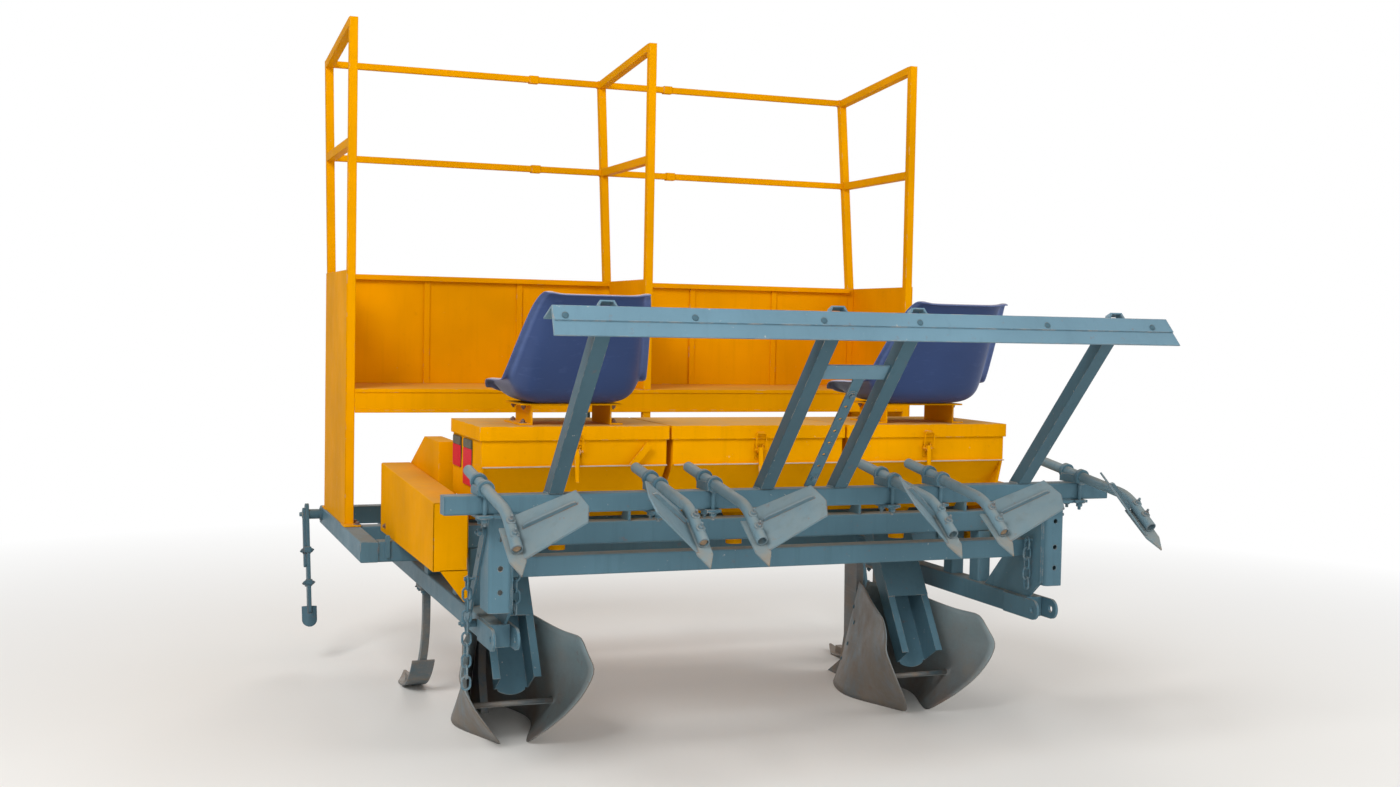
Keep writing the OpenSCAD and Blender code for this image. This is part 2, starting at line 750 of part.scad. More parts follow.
// A latch: its base plate, its handle and the pin across it
module latches() color(yellow) at_origin() {
    base_half = 20;
    base_low = box_fold + 12;
    base_high = skirt_low - 18;
    handle_half = 9;
    handle_out = 13;
    handle_inset = 6;
    cross_half = 24;
    cross_d = 10;
    cross_out = 9;
    cross_drop = 12;
    for (x = box_xs) {
        block([x - base_half, box_rear - sheet_t, base_low], [x + base_half, box_rear, base_high]);
        block([x - handle_half, box_rear - handle_out, base_low + handle_inset],
            [x + handle_half, box_rear - sheet_t, base_high - handle_inset]);
        translate([x - cross_half, box_rear - cross_out, base_high - cross_drop]) rotate([0, 90, 0])
            cylinder(d = cross_d, h = 2 * cross_half);
    }
}

module reflectors() color(reflector_red) at_origin() both_sides() {
    face = box_xs[2] + box_w / 2;
    lens_t = 6;
    lens_len = 135;
    lens_low = box_fold - 18;
    lens_high = skirt_low - 8;
    lens_ys = [box_mid_y + 55, box_mid_y - 100];
    for (y = lens_ys)
        block([face, y, lens_low], [face + lens_t, y + lens_len, lens_high]);
}

lever_in = 122;
lever_out = 16;
lever_w = 26;
lever_t = 6;
lever_len = 76;
lever_lean = 40;
lever_pivot_d = 18;

module metering_lever() color(yellow) at_origin() {
    lever_x = box_xs[0] + box_w / 2 - lever_in;
    pivot_z = box_fold + lever_pivot_d;
    translate([lever_x, box_rear - lever_out - lever_t, pivot_z]) rotate([0, lever_lean, 0])
        block([-lever_w / 2, 0, -lever_w], [lever_w / 2, lever_t, lever_len]);
    translate([lever_x, box_rear - lever_out - weld, pivot_z]) rotate([-90, 0, 0])
        cylinder(d = lever_pivot_d, h = lever_out + weld);
}

// Seats

bracket_t = 6;
bracket_foot = 46;
bracket_over = 42;
bracket_back = 70;
bracket_d = 230;

module seat_bracket(x) plate_xz(lid_rear + bracket_back, lid_rear + bracket_back + bracket_d)
    translate([x, lid_top]) {
        for (s = [-1, 1]) {
            translate([s * (bracket_w + bracket_foot) / 2, bracket_t / 2])
                square([bracket_foot + 2 * weld, bracket_t], center = true);
            translate([s * bracket_w / 2, bracket_h / 2]) square([bracket_t, bracket_h], center = true);
        }
        translate([0, bracket_h - bracket_t / 2])
            square([bracket_w + 2 * bracket_over, bracket_t], center = true);
    }

module seat_bracket_left() color(yellow) at_origin() seat_bracket(box_xs[0]);

module seat_bracket_right() color(yellow) at_origin() seat_bracket(box_xs[2]);

// The seat's middle line from its front lip to its top flange: shares of the pan's depth, of the
// recline, of the back's height, of the half width and of the shell's depth
seat_base_z = lid_top + bracket_h + seat_gap + seat_t;
seat_rear_y = lid_rear;
station_pan = 0;
station_recline = 1;
station_height = 2;
station_half = 3;
station_deep = 4;
seat_stations = [
    [1.00, 0.00, 0.050, 0.90, 0.27],
    [0.965, 0.00, 0.085, 0.93, 0.36],
    [0.91, 0.00, 0.075, 0.96, 0.55],
    [0.82, 0.00, 0.030, 0.98, 0.78],
    [0.66, 0.00, 0.006, 1.00, 0.90],
    [0.40, 0.00, 0.000, 1.02, 0.94],
    [0.16, 0.00, 0.000, 1.04, 0.98],
    [0.04, 0.00, 0.020, 1.05, 1.00],
    [0.00, 0.09, 0.085, 1.05, 0.98],
    [0.00, 0.20, 0.200, 1.03, 0.86],
    [0.00, 0.40, 0.420, 0.97, 0.68],
    [0.00, 0.62, 0.660, 0.90, 0.50],
    [0.00, 0.82, 0.870, 0.83, 0.33],
    [0.00, 0.93, 0.965, 0.77, 0.19],
    [0.00, 1.00, 1.000, 0.73, 0.10],
    [0.00, 1.10, 0.985, 0.72, 0.06]];
// Across the seat: shares of the half width and of the shell's depth, from flange to middle
seat_flank = [[1, 0.93], [0.93, 1], [0.885, 0.97], [0.84, 0.72], [0.78, 0.36], [0.68, 0.1],
    [0.52, 0.01], [0.26, 0]];
seat_flanks = len(seat_flank);
seat_section = concat([for (f = seat_flank) [-f[0], f[1]]], [[0, 0]],
    [for (i = [1:seat_flanks]) seat_flank[seat_flanks - i]]);

function seat_line(i) = let (s = seat_stations[i])
    [seat_rear_y + s[station_pan] * seat_pan - s[station_recline] * seat_recline,
        seat_base_z + s[station_height] * seat_back_h];
function seat_normal(i) = let (a = seat_line(max(0, i - 1)),
    b = seat_line(min(len(seat_stations) - 1, i + 1)))
    [b[1] - a[1], a[0] - b[0]] / norm(b - a);
// A point of the section at station i, in millimetres across and deep
function seat_across(i, j) = let (s = seat_stations[i], f = seat_section[j])
    [f[0] * s[station_half] * seat_half_w, f[1] * s[station_deep] * seat_deep];
function seat_skew(i, j) = let (a = seat_across(i, max(0, j - 1)),
    b = seat_across(i, min(len(seat_section) - 1, j + 1)))
    [b[1] - a[1], a[0] - b[0]] / norm(b - a);
function seat_point(x, i, j, drop) = let (p = seat_line(i), n = seat_normal(i),
    q = seat_across(i, j) + drop * seat_skew(i, j))
    [x + q[0], p[0] + n[0] * q[1], p[1] + n[1] * q[1]];
function seat_grid(x, drop) = [for (i = [0:len(seat_stations) - 1])
    [for (j = [0:len(seat_section) - 1]) seat_point(x, i, j, drop)]];

module seat(x) sheet_solid(seat_grid(x, 0), seat_grid(x, seat_t));

module seat_left() color(seat_blue) at_origin() seat(box_xs[0]);

module seat_right() color(seat_blue) at_origin() seat(box_xs[2]);

// Chain guards

guard_gap = 11;
guard_in = beam_x + beam_w / 2 + guard_gap;
guard_rear = -guard_behind;
guard_front = guard_rear + guard_len;
guard_top_rise = 42;
flap_h = 112;
flap_foot = 40;
flap_len = 330;
hood_w = 90;
hood_from = 106;
hood_top = 262;
hood_len = 720;
hood_drop = 57;

module chain_guards() color(yellow) at_origin() both_sides() {
    rear_top = platform_top + guard_h;
    front_top = rear_top + guard_top_rise;
    difference() {
        plate_yz(guard_in, guard_in + guard_w)
            polygon([[guard_rear, platform_top], [guard_front, platform_top],
                [guard_front, front_top], [guard_rear, rear_top]]);
        plate_yz(guard_in + sheet_t, guard_in + guard_w - sheet_t)
            polygon([[guard_rear + sheet_t, platform_top - weld],
                [guard_front - sheet_t, platform_top - weld],
                [guard_front - sheet_t, front_top - sheet_t], [guard_rear + sheet_t, rear_top - sheet_t]]);
    }
    plate_yz(guard_in, guard_in + sheet_t)
        polygon([[guard_rear, platform_top + weld], [guard_rear, platform_top - flap_h],
            [guard_rear + flap_foot, platform_top - flap_h], [guard_rear + flap_len, platform_top + weld]]);
    plate_yz(guard_in, guard_in + hood_w)
        polygon([[guard_rear + hood_from, rear_top], [guard_rear + hood_from, lid_top - hood_drop],
            [guard_rear + hood_from + hood_top, lid_top - hood_drop],
            [guard_rear + hood_len, rear_top + guard_top_rise * hood_len / guard_len]]);
}

// Rear frame

upright_r = 16;
upright_hole_d = 18;
upright_holes = [70, 150, 250];
cap_plate_in = 10;
cap_plate_back = 14;

module upright_section() difference() {
    rounded_rect(upright_w, upright_d, upright_r);
    translate([0, upright_t]) rounded_rect(upright_w - 2 * upright_t, upright_d, upright_r - upright_t);
}

// A channel open to the front, with a cap plate under the toolbar
module rear_uprights() color(frame_blue) at_origin() both_sides() {
    difference() {
        translate([upright_x, upright_y, upright_low])
            linear_extrude(upright_top - upright_low) upright_section();
        for (z = upright_holes)
            translate([upright_x, upright_y, upright_low + z]) rotate([90, 0, 0])
                cylinder(d = upright_hole_d, h = upright_d);
    }
    block([upright_in - cap_plate_in, toolbar_y - toolbar_w / 2 - cap_plate_back, upright_top],
        [upright_in + upright_w, upright_y + upright_d / 2, toolbar_bottom]);
}

module upright_gussets() color(frame_blue) at_origin() both_sides()
    plate_yz(upright_in - gusset_t, upright_in)
        polygon([[-beam_behind, beam_top], [gusset_front, beam_top],
            [upright_y + upright_d / 2 - gusset_inset, upright_top - gusset_drop],
            [upright_y - upright_d / 2 + gusset_inset, upright_top - gusset_drop],
            [upright_y - upright_d / 2 + gusset_inset, upright_low + gusset_t]]);

// The beam's tube, with an arm at each end that fills it and reaches the upright
module lower_beam() color(frame_blue) at_origin() {
    arm_w = lower_beam_w - tube_t;
    tube_x(-lower_beam_half, lower_beam_half, lower_beam_y, lower_beam_z, lower_beam_w, lower_beam_w);
    both_sides()
        bar_x(lower_beam_half - tube_t, upright_in - gusset_t, lower_beam_y, lower_beam_z,
            arm_w, arm_w, tube_r);
}

module toolbar() color(frame_blue) at_origin()
    tube_x(-toolbar_len / 2, toolbar_len / 2, toolbar_y, toolbar_z, toolbar_w, toolbar_w);

end_cap_t = 4;
end_cap_w = toolbar_w - 2;

module toolbar_caps() color(frame_blue) at_origin() both_sides()
    bar_x(toolbar_len / 2, toolbar_len / 2 + end_cap_t, toolbar_y, toolbar_z, end_cap_w, end_cap_w);

// Coverers

rod_sides = 16;
rod_steps = 5;

// The rod's middle line: each stop's place and slope, straight, round the bend and straight
rod_stops = concat([[rod_front, rod_slope]],
    [for (i = [0:rod_steps]) let (a = rod_slope + (rod_end_slope - rod_slope) * i / rod_steps)
        [rod_turn - rod_bend_r * [sin(a) - sin(rod_slope), cos(rod_slope) - cos(a)], a]],
    [[rod_tip, rod_end_slope]]);

// A round bar swept along the stops
module coverer_rod(x) {
    stops = len(rod_stops);
    points = [for (stop = rod_stops, j = [0:rod_sides - 1])
        let (a = 360 * j / rod_sides, r = rod_d / 2, up = r * sin(a))
        [x + r * cos(a), stop[0][0] - up * sin(stop[1]), stop[0][1] + up * cos(stop[1])]];
    walls = [for (i = [0:stops - 2], j = [0:rod_sides - 1], half = [0, 1])
        let (k = (j + 1) % rod_sides, a = i * rod_sides + j, b = i * rod_sides + k,
             c = (i + 1) * rod_sides + k, d = (i + 1) * rod_sides + j)
        half == 0 ? [a, b, c] : [a, c, d]];
    front_cap = [for (j = [rod_sides - 1:-1:0]) j];
    rear_cap = [for (j = [0:rod_sides - 1]) (stops - 1) * rod_sides + j];
    polyhedron(points, concat(walls, [front_cap, rear_cap]));
}

module coverer_rods() color(light_blue) at_origin()
    for (c = coverers) coverer_rod(c[coverer_place]);

clamp_half = 26;
clamp_reach = toolbar_w / 2 + 24;
clamp_plate_t = 10;
clamp_bolt_d = 14;
clamp_bolt_at = toolbar_w / 2 + 8;
clamp_ring_t = 18;
clamp_ring_at = toolbar_w / 2 + 18;
clamp_ring_d = rod_d + 20;

// A clamp holds its rod on the toolbar between two rings and a plate under the bar
module coverer_clamp(x) difference() {
    union() {
        block([x - clamp_half, toolbar_y - clamp_reach, toolbar_top],
            [x + clamp_half, toolbar_y + clamp_reach, rod_over_bar]);
        block([x - clamp_half, toolbar_y - clamp_reach, toolbar_bottom - clamp_plate_t],
            [x + clamp_half, toolbar_y + clamp_reach, toolbar_bottom]);
        for (s = [-1, 1]) {
            translate([x, toolbar_y + s * clamp_bolt_at, toolbar_bottom - clamp_plate_t])
                cylinder(d = clamp_bolt_d, h = rod_over_bar - toolbar_bottom + clamp_plate_t);
            translate([x, toolbar_y, rod_over_bar]) rotate([90 + rod_slope, 0, 0])
                translate([0, 0, s * clamp_ring_at - clamp_ring_t / 2])
                    cylinder(d = clamp_ring_d, h = clamp_ring_t);
        }
    }
    translate([x, toolbar_y, rod_over_bar]) rotate([90 + rod_slope, 0, 0])
        cylinder(d = rod_d + 2 * seat_gap, h = 4 * clamp_reach, center = true);
}

module coverer_clamps() color(frame_blue) at_origin()
    for (c = coverers) coverer_clamp(c[coverer_place]);

spear_tip = 92;
spear_shoulder = 26;
spear_neck = 36;
spear_half = 42;
blade_root = 30;
rib_t = 8;
rib_h = 21;

// A blade lies under the rod's end: a spear point, a folded wing and the wing's rib
module coverer_blade(c) translate([c[coverer_place], rod_tip[0], rod_tip[1]]) rotate([rod_end_slope, 0, 0])
    mirror([c[coverer_side] < 0 ? 1 : 0, 0, 0])
        translate([0, 0, -rod_d / 2 - blade_t - seat_gap]) {
            linear_extrude(blade_t)
                polygon([[0, -spear_tip], [spear_neck, -spear_shoulder], [spear_half, rod_end],
                    [-spear_half, rod_end], [-spear_neck, -spear_shoulder]]);
            translate([blade_root, 0, weld]) rotate([0, -wing_fold, 0]) {
                linear_extrude(blade_t)
                    polygon([[0, -0.15 * rod_end], [0.92 * wing_w, 0.13 * rod_end], [wing_w, rod_end / 2],
                        [0.87 * wing_w, rod_end], [0, 0.95 * rod_end]]);
                translate([0.1 * wing_w, rod_end / 2, weld]) cube([0.8 * wing_w, rib_t, rib_h]);
            }
        }

module coverer_blades() color(light_blue) at_origin()
    for (c = coverers) coverer_blade(c);

// Leveller bar

// Outline of a post from the toolbar into the angle iron's corner, half_w each side of its line
module post_outline(half_w) {
    high = post_foot + half_w * post_across;
    low = post_foot - half_w * post_across;
    reach = 2 * norm(post_run);
    intersection() {
        polygon([meet(high, post_along, post_foot, [1, 0]), high + reach * post_along,
            low + reach * post_along, meet(low, post_along, post_foot, [1, 0])]);
        polygon([post_corner, post_corner + reach * leg_back, post_corner + reach * (leg_back + leg_down),
            post_corner + reach * leg_down]);
    }
}

module leveller_posts() color(frame_blue) at_origin()
    for (x = leveller_xs) difference() {
        plate_yz(x - leveller_post_w / 2, x + leveller_post_w / 2) post_outline(leveller_post_w / 2);
        plate_yz(x - leveller_post_w / 2 + leveller_post_t, x + leveller_post_w / 2 - leveller_post_t)
            post_outline(leveller_post_w / 2 - leveller_post_t);
    }

clip_w = 74;
clip_top_w = 46;
clip_h = 30;
clip_t = 5;
clip_d = 30;
clip_from = 20;

// Outline of a folded clip on the bar's upper leg, drawn in by the strap's thickness
module clip_outline(t) polygon([[t - clip_w / 2, -weld], [t - clip_top_w / 2, clip_h - t],
    [clip_top_w / 2 - t, clip_h - t], [clip_w / 2 - t, -weld]]);

module leveller_bar() color(light_blue) at_origin()
    translate([0, leveller_y, leveller_z]) rotate([-leveller_tilt, 0, 0]) {
        half = leveller_len / 2;
        strip = leveller_leg / 2;
        strip_t = 5;
        slant = 40;
        plate_xz(0, leveller_t)
            polygon([[-half, 0], [half, 0], [half + slant, -leveller_leg], [-half, -leveller_leg]]);
        block([-half, 0, -leveller_t], [half, leveller_leg, 0]);
        plate_xz(-strip_t, weld / 10)
            polygon([[-half, 0], [half, 0], [half + slant / 2, -strip], [strip_t - half, -strip],
                [-half, -strip / 2]]);
        for (x = leveller_xs)
            translate([x, 0, 0]) plate_xz(clip_from, clip_from + clip_d) difference() {
                clip_outline(0);
                clip_outline(clip_t);
            }
    }

brace_at = 560;
brace_out = 12;
brace_leg = 62;
brace_shelf = 42;
brace_t = 6;

module leveller_brace() color(light_blue) at_origin()
    translate([0, post_foot[0], post_foot[1]]) rotate([post_angle, 0, 0]) {
        half = leveller_xs[2] - leveller_post_w / 2;
        block([-half, -brace_out, brace_at], [half, brace_t - brace_out, brace_at + brace_leg]);
        block([-half, -brace_out, brace_at], [half, brace_shelf - brace_out, brace_at + brace_t]);
    }

adjuster_x = 30;
adjuster_half = 20;
adjuster_t = 6;
adjuster_foot = 12;
adjuster_hole_d = 13;
adjuster_pitch = 60;
adjuster_holes = 8;

module adjuster_strip() color(frame_blue) at_origin()
    translate([adjuster_x, post_foot[0], post_foot[1]]) rotate([post_angle, 0, 0]) difference() {
        block([-adjuster_half, -adjuster_t, adjuster_foot], [adjuster_half, 0, brace_at]);
        for (i = [1:adjuster_holes])
            translate([0, adjuster_t, adjuster_pitch * i]) rotate([90, 0, 0])
                cylinder(d = adjuster_hole_d, h = 3 * adjuster_t);
    }

// Links and chains

link_x = upright_x + upright_w / 2;
link_w = 44;
link_t = 10;
link_back = 10;
link_drop = 58;
link_ahead = 230;
link_over = 10;
link_top = [upright_y - link_back, upright_top - link_drop];
link_foot = [upright_y + link_ahead, beam_z + link_over];
link_run = link_foot - link_top;
link_hole_d = 16;
link_holes = [0, 0.25, 0.75, 1];
link_boss_d = 28;

// A flat bar braces each upright to its side beam
module upright_links() color(frame_blue) at_origin() both_sides() {
    plate_yz(link_x, link_x + link_t)
        translate(link_top) rotate(atan2(link_run[1], link_run[0])) difference() {
            union() {
                translate([0, -link_w / 2]) square([norm(link_run), link_w]);
                circle(link_w / 2);
                translate([norm(link_run), 0]) circle(link_w / 2);
            }
            for (share = link_holes) translate([share * norm(link_run), 0]) circle(link_hole_d / 2);
        }
    plate_yz(beam_x + beam_w / 2, link_x) translate(link_foot) circle(link_boss_d / 2);
}

chain_wire = 8;
chain_in = 38;
chain_half_w = 11;
chain_stations = 10;
chain_sides = 6;
chain_bite = 0.5;

// A link is a round wire swept round a long loop
function chain_path(k) = let (a = 360 * k / chain_stations, r = chain_half_w + chain_wire / 2,
    straight = chain_in / 2 - chain_half_w)
    [r * cos(a), r * sin(a) + (sin(a) > 0.01 ? straight : sin(a) < -0.01 ? -straight : 0)];
function chain_ring(k) = let (p = chain_path(k), a = 360 * k / chain_stations)
    [for (j = [0:chain_sides - 1]) let (b = 360 * j / chain_sides, w = chain_wire / 2)
        [p[0] + w * cos(b) * cos(a), w * sin(b), p[1] + w * cos(b) * sin(a)]];

module chain_link() polyhedron(
    [for (k = [0:chain_stations - 1]) each chain_ring(k)],
    [for (k = [0:chain_stations - 1], j = [0:chain_sides - 1], h = [0, 1])
        let (k2 = (k + 1) % chain_stations, j2 = (j + 1) % chain_sides,
             a = k * chain_sides + j, b = k2 * chain_sides + j,
             c = k2 * chain_sides + j2, d = k * chain_sides + j2)
        h == 0 ? [a, b, c] : [a, c, d]]);

// Each chain hangs from a pin on a flat face: the face, the way out from it, the pin and the links
chain_pin_d = 10;
chain_stand_off = 23;
chain_face = 0;
chain_out = 1;
chain_pin = 2;
chain_links = 3;
gusset_pin = [upright_y + 10, upright_low + 170];
chains = [[-link_x - link_t, -1, link_top + link_run / 2, 10],
    [-upright_in + gusset_t, 1, gusset_pin, 5],
    [upright_in - gusset_t, -1, gusset_pin, 5]];

module hanging_chain(c) translate([c[chain_face], c[chain_pin][0], c[chain_pin][1]]) {
    rotate([0, 90 * c[chain_out], 0]) cylinder(d = chain_pin_d, h = chain_stand_off + chain_wire);
    for (i = [0:c[chain_links] - 1])
        translate([c[chain_out] * chain_stand_off, 0,
            (chain_pin_d - chain_in) / 2 - chain_bite - i * (chain_in + chain_bite)])
            rotate([0, 0, i % 2 == 0 ? 90 : 0]) chain_link();
}

module hanging_chains() color(bare_steel) at_origin()
    for (c = chains) hanging_chain(c);

// Furrow openers

frog_low = 50;
shank_setback = 32;
shank_front = nose_y - shank_setback;
shank_depth = 128;
shank_rake = 12;
shank_knee = 200;
heel_len = 220;
heel_z = 150;
point_len = 115;
point_h = 70;
shank_pad = 6;
shank_pad_h = 60;
shank_pad_t = 12;

// The shank's outline runs from its nose up its front and down its rear to the heel
module opener_shank() plate_yz(row_x - shank_t / 2, row_x + shank_t / 2)
    polygon([[nose_y, 0], [nose_y, frog_low], [shank_front - shank_rake, shank_knee],
        [shank_front, platform_low], [shank_front - shank_depth, platform_low],
        [shank_front - shank_depth, heel_z], [nose_y - heel_len, 0]]);

module opener_point() plate_yz(row_x - shank_t / 2, row_x + shank_t / 2)
    polygon([[nose_y, 0], [nose_y + point_len, 0], [nose_y, point_h]]);

module opener_shanks() color(bare_steel) at_origin() both_sides() {
    opener_shank();
    opener_point();
    plate_yz(row_x - shank_t / 2 - shank_pad_t, row_x + shank_t / 2 + shank_pad_t)
        translate([shank_front - shank_depth - shank_pad, platform_low - shank_pad_h])
            square([shank_depth + 2 * shank_pad, shank_pad_h]);
}

wing_rows = 10;
wing_cols = 12;
function wing_point(side, i, j, grow) = let (z = wing_h * i / wing_rows, t = j / wing_cols,
    y = wing_front(z) + t * (wing_back(z) - wing_front(z)))
    [row_x + side * (wing_x(t, z) + seat_gap + grow), y, z];

module opener_wing(side) {
    inner = [for (i = [0:wing_rows]) [for (j = [0:wing_cols]) wing_point(side, i, j, 0)]];
    outer = [for (i = [0:wing_rows]) [for (j = [0:wing_cols]) wing_point(side, i, j, wing_t)]];
    if (side > 0) sheet_solid(outer, inner);
    else sheet_solid(inner, outer);
}

stay_y = -1010;
stay_z = 150;
stay_d = 22;

module opener_wings() color(bare_steel) at_origin() both_sides() {
    for (side = [-1, 1]) opener_wing(side);
    reach = wing_x(wing_share(stay_y, stay_z), stay_z);
    translate([row_x - reach, stay_y, stay_z]) rotate([0, 90, 0]) cylinder(d = stay_d, h = 2 * reach);
}

chute_half = chute_w / 2 + 30;
chute_cover_from = 250;
lip_h = 26;
lip_inset = 10;
lip_r = (chute_w * chute_w / 4 + lip_h * lip_h) / (2 * lip_h);
chute_bar_z = platform_z;
chute_bar_half = 22;
chute_bar_t = 10;

// A chute is a channel open to the rear, with flanges, and a cover on its upper part
module chute_section() difference() {
    union() {
        translate([-chute_w / 2 - chute_t, -chute_d / 2]) square([chute_w + 2 * chute_t, chute_d + chute_t]);
        translate([-chute_half, -chute_d / 2]) square([2 * chute_half, chute_t]);
    }
    translate([-chute_w / 2, -chute_d / 2 - weld]) square([chute_w, chute_d + weld]);
}

module seed_chutes() color(frame_blue) at_origin() both_sides() {
    translate([row_x, chute_foot[0], chute_foot[1]]) rotate([-chute_lean, 0, 0]) {
        linear_extrude(chute_len) chute_section();
        plate_xz(chute_d / 2, chute_d / 2 + chute_t) intersection() {
            translate([0, lip_r - lip_h]) circle(lip_r);
            translate([lip_inset - chute_w / 2, -lip_h]) square([chute_w - 2 * lip_inset, lip_h + weld]);
        }
        block([-chute_half, -chute_d / 2 - chute_t, chute_cover_from],
            [chute_half, -chute_d / 2, chute_len]);
    }
    bar_start = chute_foot[0] + (chute_bar_z - chute_foot[1]) * tan(chute_lean)
        + (chute_d / 2 + chute_t / 2) / cos(chute_lean);
    block([row_x - chute_bar_half, bar_start, chute_bar_z - chute_bar_t / 2],
        [row_x + chute_bar_half, -platform_behind, chute_bar_z + chute_bar_t / 2]);
}

// Front tines

tine_depth = 40;
tine_clamp_y = -300;
tine_plate_half = 34;
tine_plate_len = 120;
tine_plate_t = 12;
tine_end = 276;
shovel_t = 8;
shovel_half = 48;
shovel_from = 215;
shovel_to = 290;
shovel_shoulder = tine_r + 20;
shovel_tip = tine_r + 140;
tine_centre = [tine_clamp_y + tine_r - tine_depth / 2, tine_r];

module tine_arc(outer, inner, from, to) intersection() {
    difference() {
        circle(outer);
        circle(inner);
    }
    polygon([[0, 0], for (a = [from:(to - from) / 4:to]) 2 * outer * [cos(a), sin(a)]]);
}

module front_tine() {
    plate_yz(tine_x - tine_t / 2, tine_x + tine_t / 2) {
        translate(tine_centre) tine_arc(tine_r - shovel_t, tine_r - tine_depth, 180, tine_end);
        translate([tine_centre[0] - tine_r + shovel_t, tine_centre[1] - weld])
            square([tine_depth - shovel_t, beam_low - tine_centre[1] + weld]);
    }
    intersection() {
        plate_yz(tine_x - shovel_half, tine_x + shovel_half)
            translate(tine_centre) tine_arc(tine_r, tine_r - shovel_t - weld / 10, shovel_from, shovel_to);
        linear_extrude(tine_r) translate([tine_x, tine_centre[1] - tine_r])
            translate([0, tine_clamp_y - tine_depth / 2])
                polygon([[-shovel_half, 0], [shovel_half, 0], [shovel_half, shovel_shoulder],
                    [0, shovel_tip], [-shovel_half, shovel_shoulder]]);
    }
    block([tine_x - tine_plate_half, tine_clamp_y - tine_plate_len / 2, beam_low - tine_plate_t],
        [tine_x + tine_plate_half, tine_clamp_y + tine_plate_len / 2, beam_low]);
}

module front_tines() color(bare_steel) at_origin() both_sides() front_tine();

// Row markers

marker_back = 70;
marker_up = 10;
marker_trail = 150;
marker_x = platform_x + marker_out;
marker_head = [platform_ahead - marker_back, platform_z + marker_up];
marker_foot = [marker_head[0] - marker_trail, marker_low];
marker_boss_d = 46;
// The arm and the strip beside it: half a width, half a depth, and reach above the boss
arm_half_t = 8;
arm_half_d = 26;
arm_over = 50;
arm_foot = 60;
strip_t = 12;
strip_half_d = 16;
strip_over = 30;
strip_len = 280;
spade_t = 12;
spade_toe = 14;
spade_half = 34;
spade_shoulder = 26;
spade_h = 92;

module marker_spade() polygon([[-spade_toe, 0], [spade_toe, 0], [spade_half, spade_shoulder],
    [spade_half, spade_h], [-spade_half, spade_h], [-spade_half, spade_shoulder]]);

module row_marker() {
    run = marker_foot - marker_head;
    angle = atan2(run[0], -run[1]);
    translate([platform_x, marker_head[0], marker_head[1]]) rotate([0, 90, 0])
        cylinder(d = marker_boss_d, h = marker_out - arm_half_t);
    translate([marker_x, marker_head[0], marker_head[1]]) rotate([angle, 0, 0]) {
        block([-arm_half_t, -arm_half_d, arm_foot - norm(run)], [arm_half_t, arm_half_d, arm_over]);
        block([arm_half_t - weld, -strip_half_d, strip_over - strip_len],
            [arm_half_t + strip_t, strip_half_d, strip_over]);
        translate([0, 0, -norm(run)]) plate_xz(-spade_t / 2, spade_t / 2) marker_spade();
    }
}

module row_markers() color(frame_blue) at_origin() both_sides() row_marker();

side_beams();
fork_plates();
platform_sides();
platform_crossbeams();
packing_blocks();
hitch_mast();
mast_braces();
hitch_lugs();
rack_rear_posts();
rack_panel_posts();
rack_front_posts();
rack_cross_bars();
rack_rails();
rack_side_panels();
rack_front_panel();
rack_partition();
rack_floor();
rack_floor_beams();
rack_floor_joists();
box_posts();
box_beams();
box_saddles();
box_left();
box_middle();
box_right();
box_spouts();
lid_left();
lid_middle();
lid_right();
hinge_pins();
latches();
reflectors();
metering_lever();
seat_bracket_left();
seat_bracket_right();
seat_left();
seat_right();
chain_guards();
rear_uprights();
upright_gussets();
lower_beam();
toolbar();
toolbar_caps();
coverer_rods();
coverer_clamps();
coverer_blades();
leveller_posts();
leveller_bar();
leveller_brace();
adjuster_strip();
upright_links();
hanging_chains();
opener_shanks();
opener_wings();
seed_chutes();
front_tines();
row_markers();
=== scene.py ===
"""Looks of a tractor-mounted sugarcane planter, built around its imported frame.

Named lengths and places are in millimetres unless a comment says metres; Blender's own are metres.
"""

import json
from math import copysign, cos, pi, radians, sin, sqrt

import bmesh
import bpy
from mathutils import Matrix, Vector
from mathutils.bvhtree import BVHTree


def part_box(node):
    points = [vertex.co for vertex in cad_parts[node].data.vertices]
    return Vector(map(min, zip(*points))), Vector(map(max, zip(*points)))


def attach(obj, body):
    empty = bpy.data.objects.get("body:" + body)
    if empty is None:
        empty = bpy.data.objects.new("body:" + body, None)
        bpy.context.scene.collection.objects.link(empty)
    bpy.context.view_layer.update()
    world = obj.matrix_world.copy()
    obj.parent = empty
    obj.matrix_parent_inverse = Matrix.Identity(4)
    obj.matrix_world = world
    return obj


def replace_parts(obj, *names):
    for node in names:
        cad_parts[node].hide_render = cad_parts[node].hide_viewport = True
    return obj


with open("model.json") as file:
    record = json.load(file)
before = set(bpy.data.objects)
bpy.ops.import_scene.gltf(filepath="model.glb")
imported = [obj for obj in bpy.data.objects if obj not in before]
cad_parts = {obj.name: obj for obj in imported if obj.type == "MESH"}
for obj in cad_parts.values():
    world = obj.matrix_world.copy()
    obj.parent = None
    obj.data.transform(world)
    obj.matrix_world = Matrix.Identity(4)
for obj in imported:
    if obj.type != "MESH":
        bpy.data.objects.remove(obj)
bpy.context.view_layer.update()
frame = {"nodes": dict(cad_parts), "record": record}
nodes = frame["nodes"]

# Half a rack post's width, and the datum that places are measured from, in metres: the rear posts
HALF_POST = 18.0
DATUM_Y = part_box("rack_floor_beams")[0].y + HALF_POST / 1000


def at(x, y, z):
    """A place in millimetres from the machine's middle, the rack's rear posts and the ground."""
    return Vector((x / 1000, y / 1000 + DATUM_Y, z / 1000))


ACROSS = Vector((1, 0, 0))
AHEAD = Vector((0, 1, 0))
UP = Vector((0, 0, 1))


# Colours and materials

